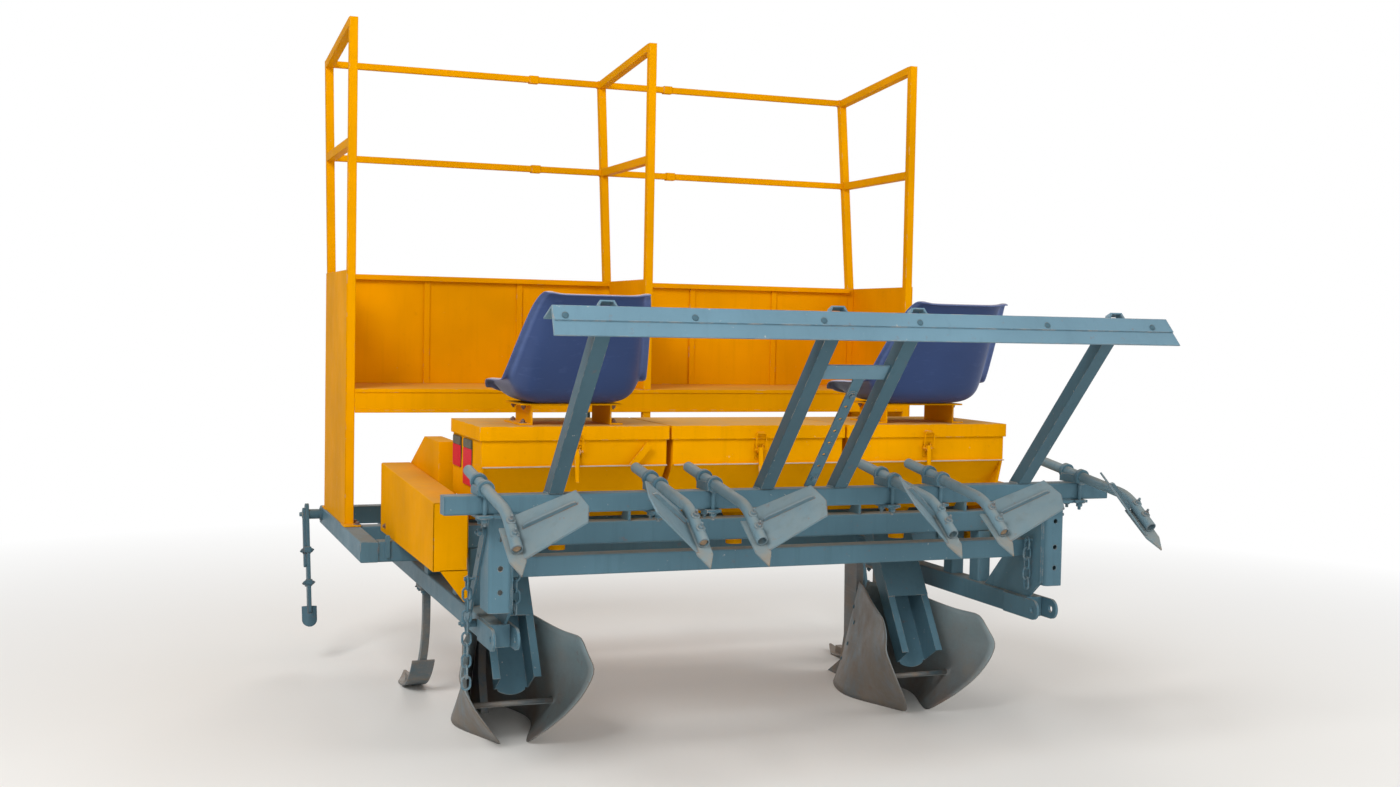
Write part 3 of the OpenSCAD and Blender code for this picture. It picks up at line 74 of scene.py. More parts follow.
def srgb(red, green, blue):
    """A colour as a screen shows it, 0 to 255, as the shader's linear values."""
    def linear(value):
        value /= 255
        return value / 12.92 if value <= 0.04045 else ((value + 0.055) / 1.055) ** 2.4
    return (linear(red), linear(green), linear(blue), 1.0)


def toned(colour, factor):
    """A colour made darker or lighter."""
    return tuple(min(1.0, c * factor) for c in colour[:3]) + (1.0,)


YELLOW = srgb(231, 156, 0)
FRAME_BLUE = srgb(80, 112, 126)
LIGHT_BLUE = srgb(102, 134, 150)
BLADE_BLUE = srgb(106, 131, 141)
SEAT_BLUE = srgb(46, 66, 110)
# The seat's paler blue: sun-fade and scuffs, and on the rim also a painted highlight
SEAT_PALE_FADE_AND_SHEEN = srgb(88, 108, 156)
STEEL = srgb(112, 108, 104)
EARTH_STEEL = srgb(118, 116, 114)
RUST = srgb(126, 74, 44)
DUST = srgb(196, 164, 118)
SOIL = srgb(150, 128, 104)
# Wing colours: an earthy grey for outer faces, partly soil and partly painted shade; a steel
# lightened as painted light for the shaded insides; soil caked inside
GREY_EARTH_AND_SHADE = srgb(112, 106, 99)
INNER_STEEL_LIT = srgb(136, 155, 160)
INNER_EARTH = srgb(132, 108, 94)
PRIMER = srgb(196, 190, 178)
REFLECTOR = srgb(220, 2, 54)
REFLECTOR_BAND = srgb(52, 50, 26)
FLOOR_WHITE = srgb(236, 234, 230)

# How wide the rounding looks on edges, in metres: sheet and tube, small steel, moulded shells
TUBE_EDGE, FINE_EDGE, SHELL_EDGE = 0.004, 0.0012, 0.006

# How much plain reflection a paint has, and how rough it is
GLOSS, MATT, PAINT_ROUGH = 0.14, 0.004, 0.42

# Heights in metres between which soil thins out: on coverers' blades, soil tools, wings' insides
BLADE_SOIL, TOOL_SOIL, WING_SOIL = (0.91, 0.82), (0.75, 0.15), (0.36, 0.06)


class NodeTree:
    """The nodes of a material or world, with short ways to add and link them."""

    def __init__(self, owner):
        owner.use_nodes = True
        self.tree = owner.node_tree
        self.tree.nodes.clear()

    def add(self, kind, inputs=None, **settings):
        node = self.tree.nodes.new(kind)
        for key, value in settings.items():
            setattr(node, key, value)
        for key, value in (inputs or {}).items():
            self.put(node.inputs[key], value)
        return node

    def put(self, socket, value):
        if isinstance(value, bpy.types.NodeSocket):
            self.tree.links.new(value, socket)
        else:
            socket.default_value = value

    def math(self, operation, first, second=0.0):
        return self.add("ShaderNodeMath", {0: first, 1: second}, operation=operation).outputs[0]

    def seen(self):
        """Whether a ray comes from the eye or from a reflection."""
        rays = self.add("ShaderNodeLightPath").outputs
        return self.math("MAXIMUM", rays["Is Camera Ray"], rays["Is Glossy Ray"])


class Shader(NodeTree):
    """A material under construction."""

    def __init__(self, name):
        self.material = bpy.data.materials.new(name)
        super().__init__(self.material)
        self.coords = self.add("ShaderNodeTexCoord").outputs["Object"]
        self.geometry = self.add("ShaderNodeNewGeometry").outputs

    def noise(self, scale, detail=3.0, rough=0.55, stretch=None):
        where = self.coords
        if stretch:
            mapping = self.add("ShaderNodeMapping", {"Vector": where, "Scale": stretch})
            where = mapping.outputs["Vector"]
        return self.add("ShaderNodeTexNoise", {"Vector": where, "Scale": scale, "Detail": detail,
                                               "Roughness": rough}).outputs["Fac"]

    def span(self, value, low, high, to_low=0.0, to_high=1.0):
        node = self.add("ShaderNodeMapRange", {"Value": value, "From Min": low, "From Max": high,
                                               "To Min": to_low, "To Max": to_high})
        return node.outputs["Result"]

    def times(self, first, second):
        return self.math("MULTIPLY", first, second)

    def most(self, first, second):
        return self.math("MAXIMUM", first, second)

    def mix(self, factor, first, second):
        node = self.add("ShaderNodeMix", {0: factor, 6: first, 7: second}, data_type="RGBA")
        return node.outputs[2]

    def mottled(self, value, low, high, base, dark, light):
        """A colour between two tones of its own."""
        return self.mix(self.span(value, low, high), toned(base, dark), toned(base, light))

    def edges(self, radius):
        """How near a point is to an outside or inside corner, and the rounded normal there."""
        rounded = self.add("ShaderNodeBevel", {"Radius": radius}, samples=4).outputs["Normal"]
        dot = self.add("ShaderNodeVectorMath", {0: rounded, 1: self.geometry["Normal"]},
                       operation="DOT_PRODUCT")
        return self.span(dot.outputs["Value"], 0.995, 0.86), rounded

    def part(self, output, axis):
        """One axis of a point's Position or Normal."""
        split = self.add("ShaderNodeSeparateXYZ", {"Vector": self.geometry[output]})
        return split.outputs[axis]

    def facing_up(self, low=0.55, high=0.95):
        return self.span(self.part("Normal", "Z"), low, high)

    def below(self, none, full):
        """How far a point lies down from one height to another, in metres."""
        return self.span(self.part("Position", "Z"), none, full)

    def finish(self, colour, roughness, bump, bump_size, normal=None, metallic=0.0, specular=0.5):
        relief = self.add("ShaderNodeBump",
                          {"Height": bump, "Strength": 1.0, "Distance": bump_size})
        if normal is not None:
            self.put(relief.inputs["Normal"], normal)
        shader = self.add("ShaderNodeBsdfPrincipled", {
            "Base Color": colour, "Roughness": roughness, "Metallic": metallic,
            "Specular IOR Level": specular, "Normal": relief.outputs["Normal"]})
        self.add("ShaderNodeOutputMaterial", {"Surface": shader.outputs["BSDF"]})
        return self.material


def weathered_paint(name, base, chip, chips, dust, rust, streaks, shine=GLOSS, soil=None):
    """Sprayed paint on sheet or tube: uneven tone, run-down stains, bare edges, rust spots and
    settled dust. Soil, where given, is the heights between which it thins out."""
    s = Shader(name)
    broad = s.noise(1.9, 3.0)
    blotch = s.noise(17.0, 5.0, 0.62)
    grain = s.noise(260.0, 2.0)
    runs = s.noise(1.0, 4.0, 0.6, stretch=(34.0, 34.0, 2.2))
    edge, rounded = s.edges(TUBE_EDGE)
    tone = s.mottled(broad, 0.32, 0.7, base, 0.86, 1.08)
    stained = s.mix(s.times(s.span(runs, 0.52, 0.8), streaks), tone, toned(base, 0.55))
    worn_mask = s.times(edge, s.span(blotch, 0.62 - 0.3 * chips, 0.66))
    spots = s.times(s.span(s.noise(46.0, 3.0, 0.7), 0.70, 0.74), chips)
    worn = s.mix(s.most(worn_mask, spots), stained, chip)
    rust_mask = s.times(s.span(s.noise(29.0, 6.0, 0.7), 0.62, 0.72), rust)
    rusty = s.mix(s.most(rust_mask, s.times(worn_mask, rust)), worn, RUST)
    dust_mask = s.times(s.facing_up(), s.span(blotch, 0.3, 0.75, 0.35, 1.0))
    dusty = s.mix(s.times(dust_mask, dust), rusty, DUST)
    if soil:
        cake = s.times(s.below(*soil), s.span(blotch, 0.34, 0.6))
        dusty = s.mix(cake, dusty, SOIL)
    rough = s.math("ADD", s.span(blotch, 0.2, 0.8, PAINT_ROUGH - 0.06, PAINT_ROUGH + 0.12),
                   s.times(s.most(dust_mask, worn_mask), 0.3))
    relief = s.math("ADD", grain, s.times(worn_mask, -0.8))
    return s.finish(dusty, rough, relief, 0.0004, rounded, specular=shine)


def scoured_steel(name, row=None):
    """Steel that works in the ground: streaked along its travel, scratched, with dried soil low
    down. Where a row's distance from the middle is given, faces turned towards the row's middle
    take a steel lightened as painted light on the wings' shaded insides, with soil caked low down,
    and faces turned away from it take an earthy grey that is partly soil and partly painted shade."""
    s = Shader(name)
    broad = s.noise(4.0, 4.0)
    scratch = s.noise(1.0, 5.0, 0.65, stretch=(60.0, 5.0, 90.0))
    cake = s.noise(9.0, 6.0, 0.68)
    edge, rounded = s.edges(TUBE_EDGE)
    tone = s.mottled(broad, 0.3, 0.7, EARTH_STEEL, 0.72, 1.1)
    blued = s.mix(s.span(s.noise(2.6, 3.0), 0.45, 0.7), tone, toned(FRAME_BLUE, 0.9))
    bright = s.times(s.span(scratch, 0.52, 0.72), 0.5)
    scratched = s.mix(bright, blued, toned(EARTH_STEEL, 1.35))
    low_soil = s.times(s.times(s.span(cake, 0.42, 0.66), 0.7), s.below(*TOOL_SOIL))
    soiled = s.mix(s.most(low_soil, s.times(s.facing_up(), 0.45)), scratched, SOIL)
    if row:
        place = s.part("Position", "X")
        side = s.math("SUBTRACT", s.math("ABSOLUTE", place), row / 1000)
        turned = s.times(s.math("SIGN", place), s.part("Normal", "X"))
        outward = s.times(turned, side)
        # Painted light: faces turned towards the row's middle, the wings' shaded insides, take the
        # lightened steel, with soil caked low down
        inward = s.times(s.span(outward, 0.0, -0.02), s.span(cake, 0.3, 0.6, 0.95, 0.65))
        caked = s.times(s.below(*WING_SOIL), s.span(broad, 0.36, 0.6, 0.25, 0.85))
        soiled = s.mix(inward, soiled, s.mix(caked, INNER_STEEL_LIT, INNER_EARTH))
        # Painted shade mixed with soil: faces turned away from the row's middle, and rubbed edges,
        # take the darker earthy grey
        outward_earth_and_shade = s.times(s.span(outward, 0.0, 0.02), s.span(cake, 0.3, 0.6, 0.2, 0.7))
        soiled = s.mix(s.most(outward_earth_and_shade, s.times(edge, 0.7)), soiled, GREY_EARTH_AND_SHADE)
    rusty = s.mix(s.times(s.span(s.noise(21.0, 6.0, 0.7), 0.6, 0.75), 0.55), soiled, RUST)
    rough = s.span(cake, 0.3, 0.7, 0.42, 0.72)
    relief = s.math("ADD", s.times(scratch, 0.5), s.times(cake, 1.2))
    return s.finish(rusty, rough, relief, 0.0012, rounded, metallic=0.25)


def rusty_steel(name):
    """Bare fasteners, pins and chains: brown oxide over dull steel."""
    s = Shader(name)
    patch = s.noise(60.0, 5.0, 0.65)
    fine = s.noise(420.0, 3.0)
    edge, rounded = s.edges(FINE_EDGE)
    tone = s.mix(s.span(patch, 0.35, 0.65), STEEL, RUST)
    bright = s.mix(s.times(edge, 0.5), tone, toned(STEEL, 1.5))
    rough = s.span(patch, 0.3, 0.7, 0.42, 0.75)
    return s.finish(bright, rough, fine, 0.0004, rounded, metallic=0.45)


def moulded_plastic(name):
    """Seat plastic: a fine moulded grain, a paler rim that is partly sun-fade and partly a painted
    highlight, scuffs, dust in the pan.
    """
    s = Shader(name)
    broad = s.noise(3.2, 3.0)
    grain = s.noise(900.0, 2.0)
    scuffs = s.noise(1.0, 4.0, 0.6, stretch=(18.0, 18.0, 60.0))
    rounded = s.edges(SHELL_EDGE)[1]
    near_rim = s.add("ShaderNodeAttribute", attribute_name="rim").outputs["Fac"]
    tone = s.mottled(broad, 0.3, 0.7, SEAT_BLUE, 0.9, 1.1)
    # The rim paler: partly sun-fade, partly a painted highlight
    rim = s.mix(s.times(near_rim, s.span(scuffs, 0.2, 0.8, 0.6, 0.95)), tone, SEAT_PALE_FADE_AND_SHEEN)
    scuffed = s.mix(s.times(s.span(scuffs, 0.58, 0.75), 0.18), rim, SEAT_PALE_FADE_AND_SHEEN)
    dust_mask = s.times(s.facing_up(0.6, 1.0), s.span(broad, 0.3, 0.7, 0.15, 0.45))
    dusty = s.mix(dust_mask, scuffed, DUST)
    rough = s.span(broad, 0.2, 0.8, 0.36, 0.5)
    return s.finish(dusty, rough, grain, 0.00015, rounded, specular=0.3)


def reflector_plastic(name):
    """Red lens with fine vertical prisms behind its face."""
    s = Shader(name)
    wave = s.add("ShaderNodeTexWave", {"Vector": s.coords, "Scale": 60.0},
                 bands_direction="Y").outputs["Fac"]
    colour = s.mottled(wave, 0.0, 1.0, REFLECTOR, 0.72, 1.1)
    dusty = s.mix(s.span(s.noise(30.0, 4.0), 0.5, 0.8, 0.0, 0.05), colour, DUST)
    return s.finish(dusty, 0.3, wave, 0.0006, specular=0.03)


def dark_moulding(name):
    """Dark plastic with a dull, dusty face."""
    s = Shader(name)
    patch = s.noise(38.0, 4.0)
    tone = s.mottled(patch, 0.3, 0.7, REFLECTOR_BAND, 0.75, 1.3)
    dusty = s.mix(s.span(s.noise(14.0, 5.0), 0.5, 0.8, 0.0, 0.35), tone, DUST)
    return s.finish(dusty, s.span(patch, 0.3, 0.7, 0.45, 0.62), s.noise(500.0, 2.0), 0.0002)


def dried_soil(name):
    """Clods of dry earth."""
    s = Shader(name)
    clod = s.noise(120.0, 6.0, 0.7)
    tone = s.mottled(clod, 0.3, 0.7, SOIL, 0.6, 1.2)
    return s.finish(tone, s.span(clod, 0.3, 0.7, 0.85, 0.98), clod, 0.003)


# Paints: the colour, what shows where it is chipped, how chipped, dusty, rusty and streaked it is,
# and then how much it reflects and its soil, where they aren't the usual ones
PAINTS = {
    "yellow_paint": (YELLOW, PRIMER, 0.22, 0.36, 0.12, 0.14, MATT),
    "frame_paint": (FRAME_BLUE, PRIMER, 0.5, 0.3, 0.3, 0.3),
    "blue_paint": (LIGHT_BLUE, PRIMER, 0.5, 0.2, 0.35, 0.2),
    "lid_paint": (YELLOW, PRIMER, 0.3, 0.85, 0.15, 0.2, MATT),
    "blade_paint": (BLADE_BLUE, STEEL, 0.8, 0.3, 0.5, 0.4, GLOSS, BLADE_SOIL),
    "marker_paint": (toned(FRAME_BLUE, 0.8), STEEL, 0.6, 0.2, 0.4, 0.25),
    # The leveller posts' darker blue is painted shade
    "shaded_post_paint": (toned(FRAME_BLUE, 0.74), PRIMER, 0.5, 0.2, 0.3, 0.25),
    # A pale primer line painted as a highlight along the ledges' edges
    "ledge_highlight": (PRIMER, YELLOW, 0.9, 0.4, 0.3, 0.25),
}
# How far the openers' rows are from the machine's middle
OPENER_X = 867.0

MATERIALS = {name: weathered_paint(name, *row) for name, row in PAINTS.items()}
MATERIALS.update({
    "wing_steel": scoured_steel("wing_steel", OPENER_X),
    "band_plastic": dark_moulding("band_plastic"),
    "dried_soil": dried_soil("dried_soil"),
    "bare_steel": rusty_steel("bare_steel"),
    "worn_steel": scoured_steel("worn_steel"),
    "seat_plastic": moulded_plastic("seat_plastic"),
    "reflector_plastic": reflector_plastic("reflector_plastic"),
})

SLOT_OF = {part["node"]: part["material_slot"] for part in frame["record"]["subparts"]}

# Nodes whose paint has its own wear, or, on the leveller posts, a darker blue as painted shade
OWN_PAINT = {"lid_left": "lid_paint", "lid_middle": "lid_paint", "lid_right": "lid_paint",
             "opener_wings": "wing_steel", "leveller_posts": "shaded_post_paint"}


def paint(piece, material):
    piece.data.materials.clear()
    piece.data.materials.append(MATERIALS[material])


for node_name, node_object in nodes.items():
    paint(node_object, OWN_PAINT.get(node_name, SLOT_OF[node_name]))


# Building pieces

# Edges that turn by more than this stay sharp, and corners are rounded in this many steps
SHARP_TURN = radians(38)
CORNER_STEPS = 4


def add_object(name, data):
    new = bpy.data.objects.new(name, data)
    bpy.context.scene.collection.objects.link(new)
    return new


def new_piece(name, mesh, body, slot, material=None):
    piece = add_object(name, mesh)
    paint(piece, material or slot)
    mesh.polygons.foreach_set("use_smooth", [True] * len(mesh.polygons))
    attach(piece, body)
    return piece


def turns(count, offset=0.0):
    """Angles at even steps round a circle."""
    return [2 * pi * (i + offset) / count for i in range(count)]


class Form:
    """A mesh under construction from turned, swept and cut shapes. Lengths are in millimetres,
    places in metres."""

    def __init__(self):
        self.points = []
        self.faces = []

    def skin(self, rings, closed=False):
        """Faces over rings of points that all turn the same way, capped unless the last ring joins
        the first."""
        start = len(self.points)
        count = len(rings[0])
        for ring in rings:
            self.points.extend(ring)
        for i in range(len(rings) if closed else len(rings) - 1):
            low = start + i * count
            high = start + (i + 1) % len(rings) * count
            for j in range(count):
                k = (j + 1) % count
                self.faces.append((low + j, low + k, high + k, high + j))
        if not closed:
            self.faces.append(tuple(start + j for j in reversed(range(count))))
            self.faces.append(tuple(start + (len(rings) - 1) * count + j for j in range(count)))

    def turned(self, place, axis, profile, sides=20):
        """A form turned about an axis, from a list of radius and height."""
        axis = axis.normalized()
        first = axis.orthogonal().normalized()
        second = axis.cross(first)
        self.skin([[place + (axis * height + (first * cos(a) + second * sin(a)) * radius) / 1000
                    for a in turns(sides)] for radius, height in profile])

    def swept(self, path, radius, sides=10, closed=False):
        """A round wire along a path; the radius is one number or one for each point."""
        radii = radius if isinstance(radius, list) else [radius] * len(path)
        count = len(path)
        first = None
        rings = []
        for i, place in enumerate(path):
            before = path[i - 1] if closed or i else place
            after = path[(i + 1) % count] if closed or i < count - 1 else place
            along = (after - before).normalized()
            first = along.orthogonal() if first is None else first - along * first.dot(along)
            first.normalize()
            second = along.cross(first)
            rings.append([place + (first * cos(a) + second * sin(a)) * radii[i] / 1000
                          for a in turns(sides)])
        self.skin(rings, closed)

    def plate(self, outline, origin, across, up, thick):
        """A flat plate with broken edges; its outline turns from across to up, and it thickens
        along their cross."""
        out = across.cross(up)
        middle_x, middle_y = (sum(p[k] for p in outline) / len(outline) for k in (0, 1))
        edge = min(1.0, thick / 4)

        def ring(height, inset):
            points = []
            for x, y in outline:
                away = Vector((x - middle_x, y - middle_y))
                away = away - away.normalized() * inset
                points.append(origin + (across * (middle_x + away.x) + up * (middle_y + away.y)
                                        + out * height) / 1000)
            return points
        self.skin([ring(0, edge), ring(edge, 0), ring(thick - edge, 0), ring(thick, edge)])

    def piece(self, name, slot, material=None, body="frame"):
        mesh = bpy.data.meshes.new(name)
        mesh.from_pydata([tuple(p) for p in self.points], [], self.faces)
        piece = new_piece(name, mesh, body, slot, material)
        mesh.set_sharp_from_angle(angle=SHARP_TURN)
        return piece


def rounded_outline(half_w, half_h, r):
    """A rectangle about its middle with round corners."""
    points = []
    for corner, (sx, sy) in enumerate(((1, 1), (-1, 1), (-1, -1), (1, -1))):
        for i in range(CORNER_STEPS + 1):
            a = pi / 2 * (corner + i / CORNER_STEPS)
            points.append((sx * (half_w - r) + r * cos(a), sy * (half_h - r) + r * sin(a)))
    return points


# Bolts by thread, as widths across the flats, and the round heads of coach and plough bolts
M8, M10, M12, M14, M16 = 13.0, 16.0, 19.0, 22.0, 24.0
COACH_R, PLOUGH_R = 11.0, 10.0

# Shares of the width across the flats: washer radius and thickness, head, thread radius
WASHER_R, WASHER_T, HEAD_H, THREAD_R = 0.98, 0.12, 0.62, 0.29
THREAD_PITCH = 2


def hex_head(form, place, axis, across, stud=0.0):
    """A hexagon head on its washer, or a nut where a threaded stud stands out of it."""
    corner = across / sqrt(3)
    washer = WASHER_T * across
    top = washer + HEAD_H * across
    core = 0.3 * across
    form.turned(place, axis, [(WASHER_R * across, -1.0), (WASHER_R * across, 0.7 * washer),
                              (0.9 * across, washer), (core, washer)])
    form.turned(place, axis, [(corner, washer - 0.4), (corner, top - 0.1 * across),
                              (0.84 * corner, top), (core, top)], sides=6)
    if stud:
        thread = THREAD_R * across
        count = max(2, int(stud / THREAD_PITCH))
        profile = [(thread, top - 1.0)]
        for i in range(count):
            ridge = top + THREAD_PITCH * i
            profile += [(thread, ridge), (0.9 * thread, ridge + THREAD_PITCH / 2)]
        profile.append((0.7 * thread, top + THREAD_PITCH * count))
        form.turned(place, axis, profile, sides=12)


def dome_head(form, place, axis, radius):
    """The low round head of a coach bolt or rivet."""
    arc = [pi / 2 * i / 5 for i in range(5)]
    dome = [(radius * cos(a), 0.5 * radius * sin(a)) for a in arc]
    form.turned(place, axis, [(radius, -1.0)] + dome + [(0.1 * radius, 0.5 * radius)])


def bead(form, path, size=4.0):
    """A run of weld along straight lines, with the ripple of its passes."""
    step = 0.55 * size
    points, radii = [], []
    for start, end in zip(path, path[1:]):
        count = max(2, int((end - start).length * 1000 / step))
        for i in range(count):
            points.append(start.lerp(end, i / count))
            radii.append(size * (1 + 0.14 * sin(2.3 * len(points))))
    points.append(path[-1])
    radii.append(0.6 * size)
    radii[0] = 0.6 * size
    form.swept(points, radii, sides=7)


def bead_loop(form, middle, first, second, half):
    """Weld round a square, from its middle, the ways of its sides and half their length."""
    corners = ((1, 1), (-1, 1), (-1, -1), (1, -1), (1, 1))
    bead(form, [middle + (first * u + second * v) * half / 1000 for u, v in corners], 3.2)


def surface(node, start, direction):
    """Where a straight line first meets a node, and which way the node faces there."""
    mesh = nodes[node].data
    tree = BVHTree.FromPolygons([v.co for v in mesh.vertices], [p.vertices for p in mesh.polygons])
    place, normal = tree.ray_cast(start, direction)[:2]
    return place, normal if normal.dot(direction) < 0 else -normal


BOTH = (-1, 1)


# Seats, with their pressed rim, and the opener wings

def smooth_copy(node, name, body, levels, crease_angle=None, rim=None, reshape=None):
    """A node's own form with its facets rounded by subdivision, shown in the node's place. The rim,
    where given, is the length in metres below which a face's short side shows that it lies on the
    shell's cut edge."""
    work = bmesh.new()
    work.from_mesh(nodes[node].data)
    bmesh.ops.remove_doubles(work, verts=work.verts, dist=1e-6)
    bmesh.ops.join_triangles(work, faces=work.faces, angle_face_threshold=radians(30),
                             angle_shape_threshold=radians(50))
    if crease_angle:
        layer = work.edges.layers.float.new("crease_edge")
        for edge in work.edges:
            if len(edge.link_faces) == 2 and edge.calc_face_angle() > crease_angle:
                edge[layer] = 1.0
    for v in work.verts if reshape else ():
        v.co = reshape(v.co)

    def on_rim(v):
        return any(min(e.calc_length() for e in face.edges) < rim for face in v.link_faces)
    work.verts.ensure_lookup_table()
    near_rim = [1.0 if rim and on_rim(v) else 0.0 for v in work.verts]
    mesh = bpy.data.meshes.new(name)
    work.to_mesh(mesh)
    work.free()
    mesh.attributes.new("rim", "FLOAT", "POINT").data.foreach_set("value", near_rim)
    piece = new_piece(name, mesh, body, SLOT_OF[node], OWN_PAINT.get(node))
    rounding = piece.modifiers.new("rounding", "SUBSURF")
    rounding.levels = levels
    rounding.render_levels = levels
    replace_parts(piece, node)


SEAT_RIM_T, WING_CREASE = 0.0075, radians(60)
for side in ("left", "right"):
    smooth_copy("seat_" + side, "moulded_seat_" + side, side + "_lid", 2, rim=SEAT_RIM_T)

# The wings' tails: where their bend starts and is full, and how far they close in and drop
TAIL_FROM, TAIL_FULL = -650.0, -1100.0
TOE_Z, TOE_IN, TOE_POWER = 260.0, 0.55, 2.4
CREST_Z, CREST_FULL, CREST_IN, CREST_DROP = 250.0, 470.0, 0.16, 45.0


def eased(value, low, high):
    share = min(1.0, max(0.0, (value - low) / (high - low)))
    return share * share * (3 - 2 * share)


def pressed_tail(place):
    """The wings' tails drawn in at the toe and at the crest, as the pressed sheet is."""
    x, y, z = place.x * 1000, (place.y - DATUM_Y) * 1000, place.z * 1000
    row = copysign(OPENER_X, x)
    tail = eased(-y, -TAIL_FROM, -TAIL_FULL)
    toe = max(0.0, 1 - z / TOE_Z) ** TOE_POWER
    crest = eased(z, CREST_Z, CREST_FULL)
    drawn_in = 1 - tail * (TOE_IN * toe + CREST_IN * crest)
    return at(row + (x - row) * drawn_in, y, z - tail * crest * CREST_DROP)


smooth_copy("opener_wings", "pressed_wings", "frame", 1, WING_CREASE, reshape=pressed_tail)

# Coverers: each row is a coverer's distance from the middle, whether its pipe is full of soil and
# its wing's side

COVERERS = ((-1155, True, 1), (-550, True, -1), (-350, False, 1),
            (350, False, -1), (550, True, 1), (1155, False, -1))
ROD_FRONT = (-1499.0, 1095.0)
ROD_SLOPE, ROD_END_SLOPE = 8.0, 35.0
ROD_STRAIGHT, ROD_BEND, ROD_BEND_STEPS, ROD_END = 500.0, 220.0, 12, 120.0
ROD_R, ROD_BORE, ROD_LIP, ROD_SIDES = 19.0, 14.5, 1.2, 24
# Depths and radii from inside the bore, round the lip, to the outer wall
MOUTH = ((70.0, ROD_BORE), (0.0, ROD_BORE), (0.0, ROD_R - ROD_LIP), (ROD_LIP, ROD_R))
TOOLBAR_Y, TOOLBAR_LOW, TOOLBAR_HIGH, TOOLBAR_HALF = -1711.0, 970.0, 1035.0, 32.5


def down(slope):
    """The way that a rod runs to the rear at a slope, as a direction along Y and Z."""
    return Vector((0, -cos(radians(slope)), -sin(radians(slope))))


def rod_path(x):
    """Places and directions along a rod's middle line."""
    place = at(x, *ROD_FRONT)
    stops = [(place, down(ROD_SLOPE))]
    place = place + down(ROD_SLOPE) * ROD_STRAIGHT / 1000
    turn = (ROD_END_SLOPE - ROD_SLOPE) / ROD_BEND_STEPS
    stops.append((place, down(ROD_SLOPE)))
    for i in range(ROD_BEND_STEPS):
        slope = ROD_SLOPE + (i + 0.5) * turn
        place = place + down(slope) * 2 * ROD_BEND * sin(radians(turn / 2)) / 1000
        stops.append((place, down(ROD_SLOPE + (i + 1) * turn)))
    stops.append((place + down(ROD_END_SLOPE) * ROD_END / 1000, down(ROD_END_SLOPE)))
    return stops


def rod(form, stops):
    """A pipe along stops that is open for a way at both its ends."""
    def ring(place, along, radius):
        second = along.cross(ACROSS)
        return [place + (ACROSS * cos(a) + second * sin(a)) * radius / 1000
                for a in turns(ROD_SIDES)]

    def mouth(place, along, inward):
        return [ring(place + inward * deep / 1000, along, radius) for deep, radius in MOUTH]
    (front, front_along), (rear, rear_along) = stops[0], stops[-1]
    form.skin(mouth(front, front_along, front_along)
              + [ring(place, along, ROD_R) for place, along in stops[1:-1]]
              + mouth(rear, rear_along, -rear_along)[::-1])


SPEAR = ((0, -92), (27, -30), (31, 120), (-31, 120), (-27, -30))
WING = ((0, -22), (222, 10), (240, 72), (218, 160), (0, 172))
WING_RIB = ((23, 5), (212, 5), (206, 17), (196, 21), (40, 21), (28, 17))
BLADE_T, BLADE_ROOT, RIB_AT, RIB_T = 7.0, 22.0, 106.0, 8.0
WING_FOLD, STEEP_FOLD = 32.0, 43.0


def sided(outline, side):
    """An outline as drawn, or its mirror image that turns the same way."""
    return outline if side > 0 else [(-x, y) for x, y in outline][::-1]


def blade(form, tip, along, side):
    """A spear point under a rod's end with its folded wing and rib. Left wings lie steeper."""
    ahead = -along
    above = ACROSS.cross(ahead)
    fold = radians(WING_FOLD if side > 0 else STEEP_FOLD)
    under = tip - above * (ROD_R + BLADE_T) / 1000
    form.plate(SPEAR, under, ACROSS, ahead, BLADE_T)
    root = under + ACROSS * side * BLADE_ROOT / 1000
    across = ACROSS * cos(fold) + above * side * sin(fold)
    form.plate(sided(WING, side), root, across, ahead, BLADE_T)
    form.plate(sided(WING_RIB, side), root + ahead * RIB_AT / 1000, across, across.cross(ahead),
               RIB_T)


BOLTS_FROM_TIP, BOLT_SUNK, STUD = (52.0, 112.0), 1.5, 12.0
CLAMP_BOLT_AT, CLAMP_PLATE_T = 40.5, 10.0
# The soil in a pipe's end: shares of the bore and places from the tip
PLUG = ((1.0, -40.0), (1.0, -9.0), (0.8, -5.0), (0.45, -6.5), (0.2, -4.0))

rods, rod_bolts, plugs, clamp_nuts, blades = Form(), Form(), Form(), Form(), Form()
for x, soiled, wing_side in COVERERS:
    stops = rod_path(x)
    tip, along = stops[-1]
    blade(blades, tip, along, wing_side)
    rod(rods, stops)
    above = -ACROSS.cross(along)
    for back in BOLTS_FROM_TIP:
        place = tip - along * back / 1000 + above * (ROD_R - BOLT_SUNK) / 1000
        hex_head(rod_bolts, place, above, M10, STUD)
    if soiled:
        plugs.turned(tip, along, [(share * ROD_BORE, height) for share, height in PLUG])
    for s in BOTH:
        place = at(x, TOOLBAR_Y + s * CLAMP_BOLT_AT, TOOLBAR_LOW - CLAMP_PLATE_T)
        hex_head(clamp_nuts, place, -UP, M14, STUD)
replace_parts(rods.piece("pipe_rods", "blue_paint", "blade_paint"), "coverer_rods")
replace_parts(blades.piece("folded_blades", "blue_paint", "blade_paint"), "coverer_blades")
rod_bolts.piece("rod_bolts", "blue_paint", "blade_paint")
plugs.piece("soil_plugs", "worn_steel", "dried_soil")
clamp_nuts.piece("clamp_nuts", "frame_paint")

# Leveller bar: coach bolts along its strip, bolts on the adjuster, weld at the posts' feet

